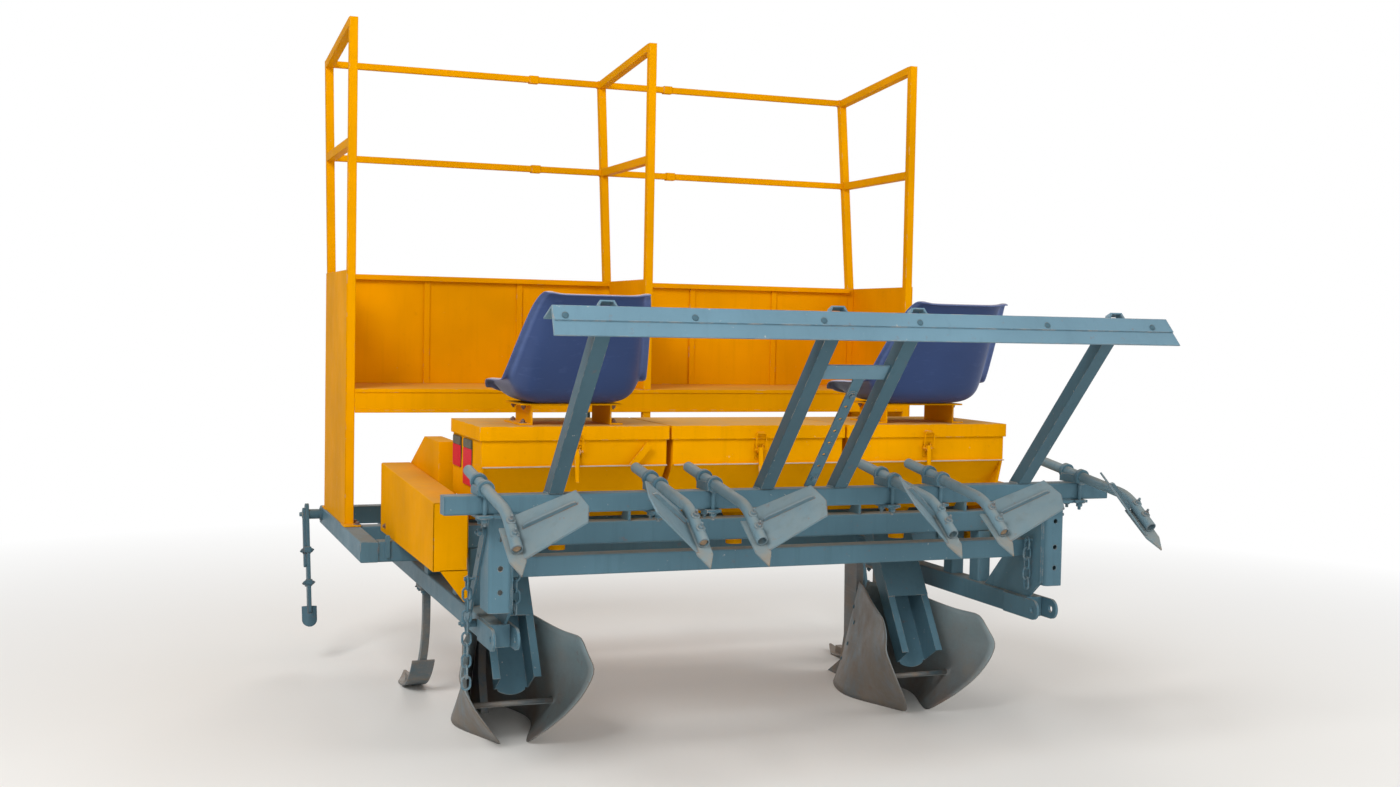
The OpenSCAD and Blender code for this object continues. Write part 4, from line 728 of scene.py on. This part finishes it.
LEVELLER_BOLTS = (-1055, -646, -214, 127, 607, 1028)
LEVELLER_EDGE, STRIP_T, BOLT_DOWN = (-2308.0, 1657.0), 5.0, 32.0
LEVELLER_DOWN, LEVELLER_OUT = Vector((0, -0.3746, -0.9272)), Vector((0, -0.9272, 0.3746))
POST_ALONG, POST_UNDER = Vector((0, -0.6803, 0.7330)), Vector((0, -0.7330, -0.6803))
POST_XS, POST_WELD_X, POST_WELD_Y = (-912, -144, 144, 912), 26, 27
ADJUSTER_X, ADJUSTER_T, ADJUSTER_BOLTS = 30.0, 6.0, (60.0, 480.0)

leveller_bolts, frame_bolts, frame_welds = Form(), Form(), Form()
for x in LEVELLER_BOLTS:
    place = at(x, *LEVELLER_EDGE) + (LEVELLER_DOWN * BOLT_DOWN + LEVELLER_OUT * STRIP_T) / 1000
    dome_head(leveller_bolts, place, LEVELLER_OUT, COACH_R)
# The leveller's bolts take the darker post paint as painted shade
leveller_bolts.piece("leveller_bolts", "blue_paint", "shaded_post_paint")
for way in ADJUSTER_BOLTS:
    foot = at(ADJUSTER_X, TOOLBAR_Y, TOOLBAR_HIGH)
    place = foot + (POST_ALONG * way + POST_UNDER * ADJUSTER_T) / 1000
    hex_head(frame_bolts, place, POST_UNDER, M12)
for x in POST_XS:
    for s in BOTH:
        bead(frame_welds, [at(x + s * POST_WELD_X, TOOLBAR_Y + t * POST_WELD_Y, TOOLBAR_HIGH + 1)
                           for t in BOTH])

# Rear frame: link bolts, upright welds, toolbar welds and beam welds

UPRIGHT_IN, UPRIGHT_OUT = 1048.0, 1126.0
LINK_FACE, LINK_BOLTS = 1136.0, ((-1639.5, 900.0), (-1399.5, 546.0))
GUSSET_REAR, GUSSET_FRONT_TOP, GUSSET_LOW, GUSSET_TOP = -1680.0, -1580.0, 644.0, 878.0
LOWER_BEAM, LOWER_BEAM_HALF, LOWER_BEAM_END = (-1539.5, 765.0), 33.0, 1037.0
for s in BOTH:
    for bolt in LINK_BOLTS:
        hex_head(frame_bolts, at(s * LINK_FACE, *bolt), ACROSS * s, M16, 9.0)
    inner = s * (UPRIGHT_IN - 1)
    bead(frame_welds, [at(inner, GUSSET_REAR, GUSSET_LOW), at(inner, GUSSET_REAR, GUSSET_TOP),
                       at(inner, GUSSET_FRONT_TOP, GUSSET_TOP)])
    for t in BOTH:
        y = TOOLBAR_Y + t * (TOOLBAR_HALF - 3)
        bead(frame_welds, [at(s * (UPRIGHT_IN - 8), y, TOOLBAR_LOW),
                           at(s * (UPRIGHT_OUT - 2), y, TOOLBAR_LOW)])
    bead_loop(frame_welds, at(s * LOWER_BEAM_END, *LOWER_BEAM), AHEAD, UP, LOWER_BEAM_HALF)

# Platform and tools: lugs, tube ends, pad bolts, plough bolts

PLATFORM_X, PLATFORM_REAR, PLATFORM_FRONT = 1334.5, -512.0, 762.0
PLATFORM_LOW, PLATFORM_HIGH, PLATFORM_Z = 632.0, 716.0, 674.0
LUG_X, LUG_R, LUG_T, LUG_LOW, LUG_HIGH = 1263.0, 10.0, 9.0, 659.0, 732.0
PAD_OUT, PAD_Z, PAD_YS = 28.0, 602.0, (-472.0, -400.0)
BEAM_X, BEAM_Z, BEAM_REAR = 1062.0, 536.0, -1600.0
TINE_Y, TINE_PLATE_LOW, TINE_BOLT_X, TINE_BOLT_Y = -300.0, 484.0, 22.0, 46.0
WING_BOLTS = ((-470.0, 110.0), (-530.0, 190.0), (-560.0, 290.0), (-500.0, 350.0))
SHOVEL_BOLTS = (70.0, 120.0)
# Places well clear of the wings and the tines, from which their faces are sought
WING_CLEAR, TINE_CLEAR = 420, 600
GUARD_OUT, GUARD_BOLT = 1236.0, (-286.0, 748.0)
MARKER_OUT, MARKER_HEAD = 1460.0, (692.0, 684.0)
BOX_BEAM_YS, BOX_BEAM_END, BOX_BEAM_Z = (-1199.5, -989.5), 1099.0, 827.5
# Tube ends: half widths, half heights and rounding, and their thickness
BEAM_CAP, PLATFORM_CAP, BOX_BEAM_CAP = (36.0, 39, 6), (36.5, 41, 6), (36.5, 41.5, 6)
CAP_T = 4.0

lugs, tool_bolts, guard_bolts, tube_ends = Form(), Form(), Form(), Form()
for s in BOTH:
    tab = [(s * LUG_X + LUG_R * cos(a), (LUG_HIGH if sin(a) > 0 else LUG_LOW) + LUG_R * sin(a))
           for a in turns(16, 0.5)]
    lugs.plate(tab, at(0, PLATFORM_REAR, 0), ACROSS, UP, LUG_T)
    for y in PAD_YS:
        for t in BOTH:
            hex_head(tool_bolts, at(s * OPENER_X + t * PAD_OUT, y, PAD_Z), ACROSS * t, M16, 8.0)
    for t in BOTH:
        for y, z in WING_BOLTS:
            start = at(s * OPENER_X + t * WING_CLEAR, y, z)
            place, normal = surface("opener_wings", start, ACROSS * -t)
            dome_head(tool_bolts, place, normal, PLOUGH_R)
        for u in BOTH:
            place = at(s * BEAM_X + u * TINE_BOLT_X, TINE_Y + t * TINE_BOLT_Y, TINE_PLATE_LOW)
            hex_head(tool_bolts, place, -UP, M12, 6.0)
    for z in SHOVEL_BOLTS:
        place, normal = surface("front_tines", at(s * BEAM_X, TINE_CLEAR, z), -AHEAD)
        dome_head(tool_bolts, place, normal, PLOUGH_R)
    hex_head(guard_bolts, at(s * GUARD_OUT, *GUARD_BOLT), ACROSS * s, M8)
    hex_head(frame_bolts, at(s * MARKER_OUT, *MARKER_HEAD), ACROSS * s, M12)
    for cap, x, z, rear in ((BEAM_CAP, BEAM_X, BEAM_Z, BEAM_REAR),
                            (PLATFORM_CAP, PLATFORM_X, PLATFORM_Z, PLATFORM_REAR)):
        for y in (rear, PLATFORM_FRONT + CAP_T):
            tube_ends.plate(rounded_outline(*cap), at(s * x, y, z), ACROSS, UP, CAP_T)
    for y in BOX_BEAM_YS:
        tube_ends.plate(rounded_outline(*BOX_BEAM_CAP), at(s * BOX_BEAM_END, y, BOX_BEAM_Z),
                        AHEAD * s, UP, CAP_T)
lugs.piece("crossbeam_lugs", "frame_paint")
tube_ends.piece("tube_ends", "frame_paint")
tool_bolts.piece("tool_bolts", "frame_paint")
guard_bolts.piece("guard_bolts", "bare_steel")

# Chain guards: folded sheet, open below, with a flap behind and a hood against the box's side

GUARD_IN, GUARD_REAR, GUARD_FRONT, GUARD_FOLD, SHEET = 1110.0, -1306.0, -176.0, 7.0, 3.0
GUARD_REAR_TOP, GUARD_FRONT_TOP, FACE_INSET = 961.0, 1003.0, 0.5
FLAP = ((1110.0, 606.0), (1124.0, 604.0), (1212.0, 720.0), (1110.0, 720.0))
HOOD_IN, HOOD_REAR, HOOD_TOP_FRONT, HOOD_LOW, HOOD_TOP = 1040.0, -765.0, -470.0, 901.0, 1135.0
HOOD = ((HOOD_REAR, HOOD_LOW), (GUARD_FRONT, HOOD_LOW), (GUARD_FRONT, GUARD_FRONT_TOP),
        (HOOD_TOP_FRONT, HOOD_TOP), (HOOD_REAR, HOOD_TOP))


def bent_sheet(form, side, y_tops, inner, outer, low):
    """A sheet folded over two edges, from rear to front, with its top at a height for each place
    along it."""
    def wall(offset):
        r = GUARD_FOLD - offset
        turn = [pi * i / 8 for i in range(5)]
        near = [(inner + GUARD_FOLD - r * cos(a), -GUARD_FOLD + r * sin(a)) for a in turn]
        far = [(outer - GUARD_FOLD + r * sin(a), -GUARD_FOLD + r * cos(a)) for a in turn]
        return [(inner + offset, None)] + near + far + [(outer - offset, None)]
    profile = wall(0.0) + wall(SHEET)[::-1]
    rings = [[at(side * x, y, low if drop is None else top + drop) for x, drop in profile]
             for y, top in y_tops]
    form.skin(rings if side < 0 else rings[::-1])


def slab(form, side, outline, near, far):
    """A plate or box that stands fore and aft between two distances from the machine's middle."""
    form.plate(outline, at(near if side > 0 else -far, 0, 0), AHEAD, UP, far - near)


guards = Form()
for s in BOTH:
    tops = [(GUARD_REAR, GUARD_REAR_TOP), (GUARD_FRONT, GUARD_FRONT_TOP)]
    bent_sheet(guards, s, tops, GUARD_IN, GUARD_OUT, PLATFORM_HIGH)
    for y, top in ((GUARD_REAR + SHEET, GUARD_REAR_TOP), (GUARD_FRONT, GUARD_FRONT_TOP)):
        half = (GUARD_OUT - GUARD_IN) / 2 - FACE_INSET
        high = (top - PLATFORM_HIGH) / 2 - FACE_INSET
        middle = at(s * (GUARD_IN + GUARD_OUT) / 2, y, PLATFORM_HIGH + high)
        guards.plate(rounded_outline(half, high, GUARD_FOLD - 1), middle, ACROSS, UP, SHEET)
    guards.plate(sided(FLAP, s), at(0, GUARD_REAR + SHEET, 0), ACROSS, UP, SHEET)
    slab(guards, s, HOOD, HOOD_IN, GUARD_IN + 1)
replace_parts(guards.piece("folded_guards", "yellow_paint"), "chain_guards")

# Row markers: an arm and its strap on a stub, two clamps on the arm, a dished shoe with a round toe

MARKER_UP, MARKER_FORE = Vector((0, 0.2842, 0.9588)), Vector((0, 0.9588, -0.2842))
ARM_IN, ARM_OUT, STUB_FROM = 1432.0, 1448.0, 1372.0
STUB = ((31, -1), (31, 7), (29, 9), (23.0, 9), (23.0, ARM_IN - STUB_FROM))
# Bars: the middle's way along the arm from the head, half the depth and half the height
ARM, STRAP, CLAMP_HALF_D, CLAMP_HALF_H = (-209, 26, 259), (-110, 16, 140), 33, 15
ARM_CLAMPS, CLAMP_NUT_AT = ((-172.0, 1427.0, 1460.0), (-324.0, 1426.0, 1454.0)), 20
SHOE_AT, SHOE_HALF, SHOE_H, SHOE_T, SHOE_DISH = 528.0, 34.0, 96.0, 6.0, 13.0
SHOE_RINGS, SHOE_CROWD, TOE_LEAST = 12, 1.6, 0.6
marker_arms, marker_nuts = Form(), Form()


def marker_bar(side, middle, half_d, half_h, near, far):
    """A flat bar on the marker's line, with round corners, between two distances from the machine's
    middle."""
    place = at(near * side if side > 0 else -far, *MARKER_HEAD) + MARKER_UP * middle / 1000
    outline = rounded_outline(half_d, half_h, min(half_d, half_h) * 0.7)
    marker_arms.plate(outline, place, MARKER_FORE, MARKER_UP, far - near)


for s in BOTH:
    marker_arms.turned(at(s * STUB_FROM, *MARKER_HEAD), ACROSS * s, STUB, sides=28)
    marker_bar(s, *ARM, ARM_IN, ARM_OUT)
    marker_bar(s, *STRAP, ARM_OUT, MARKER_OUT)
    for way, near, far in ARM_CLAMPS:
        marker_bar(s, way, CLAMP_HALF_D, CLAMP_HALF_H, near, far)
        for x, out in ((far, s), (near, -s)):
            for t in BOTH:
                along_arm = (MARKER_UP * way + MARKER_FORE * t * CLAMP_NUT_AT) / 1000
                hex_head(marker_nuts, at(s * x, *MARKER_HEAD) + along_arm, ACROSS * out, M8, 4.0)
    foot = at(s * (ARM_IN + ARM_OUT) / 2, *MARKER_HEAD) - MARKER_UP * SHOE_AT / 1000
    rings = []
    for i in range(SHOE_RINGS + 1):
        up = SHOE_H * (i / SHOE_RINGS) ** SHOE_CROWD
        toe = SHOE_HALF - max(up, TOE_LEAST)
        half = SHOE_HALF if up > SHOE_HALF else sqrt(SHOE_HALF ** 2 - toe ** 2)
        spread = [half * (j / 5 - 1) for j in range(11)]
        edge = [(x, SHOE_DISH * (x / SHOE_HALF) ** 2 - SHOE_DISH) for x in spread]
        ring = edge + [(x, y + SHOE_T) for x, y in reversed(edge)]
        rings.append([foot + (ACROSS * x + MARKER_FORE * y + MARKER_UP * up) / 1000
                      for x, y in ring])
    marker_arms.skin(rings)
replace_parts(marker_arms.piece("marker_arms", "frame_paint", "marker_paint"), "row_markers")
marker_nuts.piece("marker_nuts", "frame_paint", "marker_paint")

# Hitch: weld at the lugs and the mast, bolts on the braces, linchpins

HITCH_Y, HITCH_LUG_X, MAST_X, LUG_HALF_T, PIN_AT = 832.0, 412.0, 33, 7.0, 56.0
BRACE_FACE, BRACE_BOLTS = 50.0, ((806.0, 1076.0), (40.0, 738.0))
PIN_DROP, PIN = 24, ((3.0, 0), (4.5, 2), (4.5, 38), (8, 39), (8, 47), (6, 49))
# The linchpin's ring: half its length and height, its way out, its wire, and its start and sweep
RING_L, RING_H, RING_OUT, RING_R, RING_FROM, RING_TURN = 21, 19, 5, 2.2, 0.62, 1.76
linchpins = Form()
for s in BOTH:
    for t in BOTH:
        for middle in (HITCH_LUG_X, MAST_X):
            x = s * middle + t * LUG_HALF_T
            bead(frame_welds, [at(x, PLATFORM_FRONT + 1, z)
                               for z in (PLATFORM_LOW + 2, PLATFORM_HIGH - 4)])
    for bolt in BRACE_BOLTS:
        hex_head(frame_bolts, at(s * BRACE_FACE, *bolt), ACROSS * s, M12)
    pin = at(s * (HITCH_LUG_X + LUG_HALF_T + PIN_AT), HITCH_Y, BEAM_Z)
    linchpins.turned(pin - UP * PIN_DROP / 1000, UP, PIN, sides=14)
    arc = [pi * (RING_FROM + RING_TURN * i / 20) for i in range(21)]
    linchpins.swept([pin + (AHEAD * RING_L * cos(a) + UP * (RING_H * sin(a))
                            + ACROSS * s * RING_OUT) / 1000 for a in arc], RING_R)
linchpins.piece("linchpins", "bare_steel")
frame_bolts.piece("frame_bolts", "frame_paint")
frame_welds.piece("frame_welds", "frame_paint")

# Cane rack: base plates under the posts, weld at the posts and rails, lips on the floor beam

RACK_X, RACK_FRONT, RAIL_HALF, RAIL_ZS = 1344.0, 635.0, 15.0, (2361.0, 2807.0)
# The front posts lean from a height on, by a run for a rise
LEAN_FROM, LEAN_RUN, LEAN_RISE = 1816, 144, 1006
PLATE_IN, PLATE_OUT, PLATE_HALF, PLATE_T = 1299.0, 1371.0, 52, 8.0
BASE_BOLT, BASE_BOLT_IN, BASE_BOLT_Y = 17.0, 14, 36
LIP_T, LIP_ROUND, FLOOR_LIPS = 4.0, 2, ((1300.0, 8.0), (1210.0, 5.5))
base_plates, rack_welds, base_bolts, floor_lips = Form(), Form(), Form(), Form()
for s in BOTH:
    for y in (0.0, RACK_FRONT):
        outline = rounded_outline((PLATE_OUT - PLATE_IN) / 2, PLATE_HALF, 6)
        base_plates.plate(outline, at(s * (PLATE_IN + PLATE_OUT) / 2, y, PLATFORM_HIGH),
                          ACROSS, AHEAD, PLATE_T)
        top = PLATFORM_HIGH + PLATE_T
        bead_loop(rack_welds, at(s * RACK_X, y, top), ACROSS, AHEAD, HALF_POST + 1)
        for t in BOTH:
            place = at(s * (PLATE_IN + BASE_BOLT_IN), y + t * BASE_BOLT_Y, top)
            hex_head(base_bolts, place, UP, BASE_BOLT)
    for z in RAIL_ZS:
        y = RACK_FRONT + (z - LEAN_FROM) * LEAN_RUN / LEAN_RISE
        for x in (HALF_POST + 1, RACK_X - HALF_POST - 1):
            bead_loop(rack_welds, at(s * x, y, z), AHEAD, UP, RAIL_HALF)
for z, half in FLOOR_LIPS:
    floor_lips.plate(rounded_outline(RACK_X - HALF_POST, half, LIP_ROUND), at(0, -HALF_POST, z),
                     ACROSS, UP, LIP_T)
floor_lips.piece("floor_lips", "yellow_paint")
base_plates.piece("base_plates", "yellow_paint")
rack_welds.piece("rack_welds", "yellow_paint")
base_bolts.piece("base_bolts", "bare_steel")

# Boxes: toggle latches whose wire lies behind the lid's hook, ledges with a pale painted highlight
# along their edge, reflectors, seat bolts

BOX_XS, BOX_REAR = (-724.0, 0.0, 724.0), -1334.0
LATCH_LOW, LATCH_HIGH, LATCH_HALF, LATCH_T = 1100.0, 1165.0, 22, 3.0
RIVET_X, RIVET_IN, RIVET_R = 15, 8, 3.4
PIVOT_Y, PIVOT_Z, EAR_X, EAR_T, WIRE_R = -1347.0, 1140.0, 11, 3.0, 2.3
HOOK_BEHIND, HOOK_Z = -1356.5, 1203.0
# The ear's outline from the box and the pivot; the pin's profile and half its length
EAR = ((-3, 17), (-12, 12), (-19, 4), (-17, -8), (-3, -17))
PIVOT, PIVOT_HALF = ((5, 0), (5, 2), (3.2, 2.2), (3.2, 45.8), (5, 46), (5, 48)), 24
# The lever: ways from the box, heights and half widths, and its section
LEVER = ((-15.5, 1150, 9.5), (-19, 1132, 10.5), (-20, 1105, 10.5), (-20.5, 1075, 9.5),
         (-22, 1050, 8.5), (-26, 1036, 8), (-33, 1030, 7.5))
LEVER_SECTION = ((-1, 1.4), (-0.7, -1.4), (0.7, -1.4), (1, 1.4))
# Half the wire: ways from the middle, heights and shares of the way from the pivot to the hook
HALF_WIRE = ((20, PIVOT_Z, 0.0), (20, PIVOT_Z + 20, 0.45), (20, HOOK_Z - 8, 1.0),
             (17, HOOK_Z - 2, 1.0), (12, HOOK_Z, 1.0))
WIRE = HALF_WIRE + tuple((-u, z, share) for u, z, share in reversed(HALF_WIRE))
latches = Form()
for x in BOX_XS:
    latches.plate(rounded_outline(LATCH_HALF, (LATCH_HIGH - LATCH_LOW) / 2, 6),
                  at(x, BOX_REAR, (LATCH_LOW + LATCH_HIGH) / 2), -ACROSS, UP, LATCH_T)
    for t in BOTH:
        for z in (LATCH_LOW + RIVET_IN, LATCH_HIGH - RIVET_IN):
            dome_head(latches, at(x + t * RIVET_X, BOX_REAR - LATCH_T, z), -AHEAD, RIVET_R)
        latches.plate(EAR, at(x + t * EAR_X - EAR_T / 2, BOX_REAR, PIVOT_Z), AHEAD, UP, EAR_T)
    latches.turned(at(x - PIVOT_HALF, PIVOT_Y, PIVOT_Z), ACROSS, PIVOT, sides=14)
    latches.skin([[at(x + u * half, BOX_REAR + y + v, z) for u, v in LEVER_SECTION]
                  for y, z, half in LEVER])
    latches.swept([at(x + u, PIVOT_Y + share * (HOOK_BEHIND - PIVOT_Y), z) for u, z, share in WIRE],
                  WIRE_R)
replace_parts(latches.piece("toggle_latches", "yellow_paint"), "latches")

BOX_HALF, LEDGE_Y, LEDGE_Z, LEDGE_R = 348.0, -1346.0, 1087.5, 2.4
ledges = Form()
for x in BOX_XS:
    ledges.swept([at(x + u * BOX_HALF, LEDGE_Y, LEDGE_Z) for u in (-1, -0.33, 0.33, 1)], LEDGE_R,
                 sides=8)
# The pale line along each ledge is a painted highlight
ledges.piece("ledge_highlights", "yellow_paint", "ledge_highlight")

CHEEK = ((-1290.0, 950.0), (-862.0, 950.0), (-855.0, 1092.0), (-1334.0, 1092.0))
CHEEK_T, LENS_FACE, LENS_HALF, LENS_HIGH, LENS_T = 12.0, 1074.0, 67.5, 1174.0, 6.0
# Reflectors: their middles and feet, where their dark band starts, the gap to their bezels
LENSES, BAND_LOW, LENS_GAP, BEZEL_T = ((-943.0, 1058.0), (-1127.0, 1003.0)), 1140.0, 1.5, 3.5
cheeks, bezels, lenses, bands = Form(), Form(), Form(), Form()
for s in BOTH:
    slab(cheeks, s, CHEEK, LENS_FACE - CHEEK_T, LENS_FACE)
    for y, foot in LENSES:
        for form, inset, low, high, r, thick in (
                (bezels, 0, foot, LENS_HIGH, 7, BEZEL_T),
                (lenses, LENS_GAP, foot + LENS_GAP, BAND_LOW, 5, LENS_T),
                (bands, LENS_GAP, BAND_LOW + LENS_GAP, LENS_HIGH - LENS_GAP, 5, LENS_T)):
            form.plate(rounded_outline(LENS_HALF - inset, (high - low) / 2, r),
                       at(s * LENS_FACE, y, (low + high) / 2), AHEAD * s, UP, thick)
cheeks.piece("box_cheeks", "yellow_paint")
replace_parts(lenses.piece("reflector_lenses", "reflector_plastic"), "reflectors")
bands.piece("reflector_bands", "reflector_plastic", "band_plastic")
bezels.piece("reflector_bezels", "reflector_plastic", "band_plastic")

BRACKET_BOLT, FOOT_TOP, FOOT_X, FOOT_YS = 15.0, 1239.0, 173.0, (-1232.0, -1082.0)
TOP_PLATE_UNDER, TOP_BOLT_X = 1305.0, 172.0
SEAT_BOLT_X, SEAT_BOLT_YS, SEAT_CLEAR = 118.0, (-1218.0, -1082.0), 1600
for name, x in (("left", BOX_XS[0]), ("right", BOX_XS[2])):
    seat_bolts = Form()
    for t in BOTH:
        for y in FOOT_YS:
            hex_head(seat_bolts, at(x + t * FOOT_X, y, FOOT_TOP), UP, BRACKET_BOLT, 5.0)
            hex_head(seat_bolts, at(x + t * TOP_BOLT_X, y, TOP_PLATE_UNDER), -UP, BRACKET_BOLT, 6.0)
        for y in SEAT_BOLT_YS:
            place, normal = surface("seat_" + name, at(x + t * SEAT_BOLT_X, y, SEAT_CLEAR), -UP)
            dome_head(seat_bolts, place, normal, COACH_R)
    seat_bolts.piece("seat_bolts_" + name, "bare_steel", body=name + "_lid")

# Hanging chains: each row is the face that the pin stands on, the way out of it, the pin and the
# count of links

CHAINS = ((-1136.0, -1, (-1519.5, 723.0), 10), (-1038.0, 1, (-1619.5, 802.0), 5),
          (1038.0, -1, (-1619.5, 802.0), 5))
CHAIN_PIN_R, CHAIN_STAND_OFF, CHAIN_WIRE_R = 5.0, 23.0, 4.0
CHAIN_PIN = ((CHAIN_PIN_R, 0), (CHAIN_PIN_R, 29), (8, 29.5), (8, 33), (6.5, 34))
CHAIN_IN, CHAIN_HALF, CHAIN_BITE = 38.0, 11.0, 0.5
chain = Form()
for face, out, (pin_y, pin_z), links in CHAINS:
    chain.turned(at(face, pin_y, pin_z), ACROSS * out, CHAIN_PIN, sides=14)
    for i in range(links):
        z = pin_z + CHAIN_PIN_R - CHAIN_IN / 2 - CHAIN_BITE - i * (CHAIN_IN + CHAIN_BITE)
        middle = at(face + out * CHAIN_STAND_OFF, pin_y, z)
        flat = AHEAD if i % 2 == 0 else ACROSS
        reach = CHAIN_HALF + CHAIN_WIRE_R
        loop = []
        for a in turns(16, 0.5):
            straight = (CHAIN_IN / 2 - CHAIN_HALF) * (1 if sin(a) > 0 else -1)
            rise = reach * sin(a) + straight
            loop.append(middle + (flat * reach * cos(a) + UP * rise) / 1000)
        chain.swept(loop, CHAIN_WIRE_R, sides=8, closed=True)
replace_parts(chain.piece("chain_links", "bare_steel", "frame_paint"), "hanging_chains")


# Floor, light and camera, in metres

PHOTO_WIDTH, FOCAL_PIXELS, SENSOR_MM = 1400, 1532.248, 36.0
CAMERA_TURN = (21.0043, 2.5138, 1.10915)
EYE_FROM_DATUM = Vector((-2.297, -6.676, 1.604))
FLOOR_HALF, FADE_FROM, FADE_TO = 60.0, 2.2, 6.5
WORLD_LIGHT = 0.46


def add_camera():
    """The photo's own view: how far it is turned to the right, down and over, in degrees."""
    yaw, pitch, roll = (radians(angle) for angle in CAMERA_TURN)
    ahead = Vector((sin(yaw) * cos(pitch), cos(yaw) * cos(pitch), -sin(pitch)))
    level = Vector((cos(yaw), -sin(yaw), 0.0))
    above = level.cross(ahead)
    right = level * cos(roll) + above * sin(roll)
    up = above * cos(roll) - level * sin(roll)
    lens = bpy.data.cameras.new("photo_camera")
    lens.sensor_width = SENSOR_MM
    lens.lens = FOCAL_PIXELS / PHOTO_WIDTH * SENSOR_MM
    camera = add_object("photo_camera", lens)
    placed = Matrix((right, up, -ahead)).transposed().to_4x4()
    placed.translation = EYE_FROM_DATUM + Vector((0, DATUM_Y, 0))
    camera.matrix_world = placed
    bpy.context.scene.camera = camera


def add_floor():
    """A pale floor that keeps the shadow near the machine and fades to the white background."""
    half = FLOOR_HALF
    mesh = bpy.data.meshes.new("floor")
    corners = [(-half, -half, 0), (half, -half, 0), (half, half, 0), (-half, half, 0)]
    mesh.from_pydata(corners, [], [(0, 1, 2, 3)])
    floor = add_object("floor", mesh)
    s = Shader("floor")
    distance = s.add("ShaderNodeVectorMath", {0: s.geometry["Position"]}, operation="LENGTH")
    far = s.span(distance.outputs["Value"], FADE_FROM, FADE_TO)
    shade = s.add("ShaderNodeBsdfDiffuse", {"Color": FLOOR_WHITE})
    white = s.add("ShaderNodeEmission", {"Color": (1, 1, 1, 1), "Strength": 1.0})
    both = s.add("ShaderNodeMixShader", {0: s.times(far, s.seen()), 1: shade.outputs[0],
                                         2: white.outputs[0]})
    s.add("ShaderNodeOutputMaterial", {"Surface": both.outputs[0]})
    mesh.materials.append(s.material)


def add_light(name, place, target, size, watts):
    lamp = bpy.data.lights.new(name, "AREA")
    lamp.shape = "DISK"
    lamp.size = size
    lamp.energy = watts
    light = add_object(name, lamp)
    light.location = place
    light.rotation_euler = (Vector(target) - Vector(place)).to_track_quat("-Z", "Y").to_euler()


def add_world():
    """White to the eye and in reflections, and a soft even light on the machine."""
    world = bpy.data.worlds.new("studio")
    bpy.context.scene.world = world
    n = NodeTree(world)
    level = n.add("ShaderNodeMapRange", {"Value": n.seen(), "To Min": WORLD_LIGHT, "To Max": 1.0})
    sky = n.add("ShaderNodeBackground",
                {"Color": (1, 1, 1, 1), "Strength": level.outputs["Result"]})
    n.add("ShaderNodeOutputWorld", {"Surface": sky.outputs[0]})


MACHINE, TOOLS = (0.0, -0.2, 1.1), (0.0, -0.4, 0.45)
add_camera()
add_floor()
add_world()
add_light("key", (-5.5, -5.0, 6.5), MACHINE, 3.5, 450.0)
add_light("fill", (6.0, -4.5, 3.5), MACHINE, 4.0, 150.0)
add_light("low", (-1.0, -6.5, 1.3), TOOLS, 3.0, 85.0)
add_light("back", (1.0, 6.5, 5.5), MACHINE, 4.0, 170.0)
bpy.context.scene.view_settings.view_transform = "Standard"
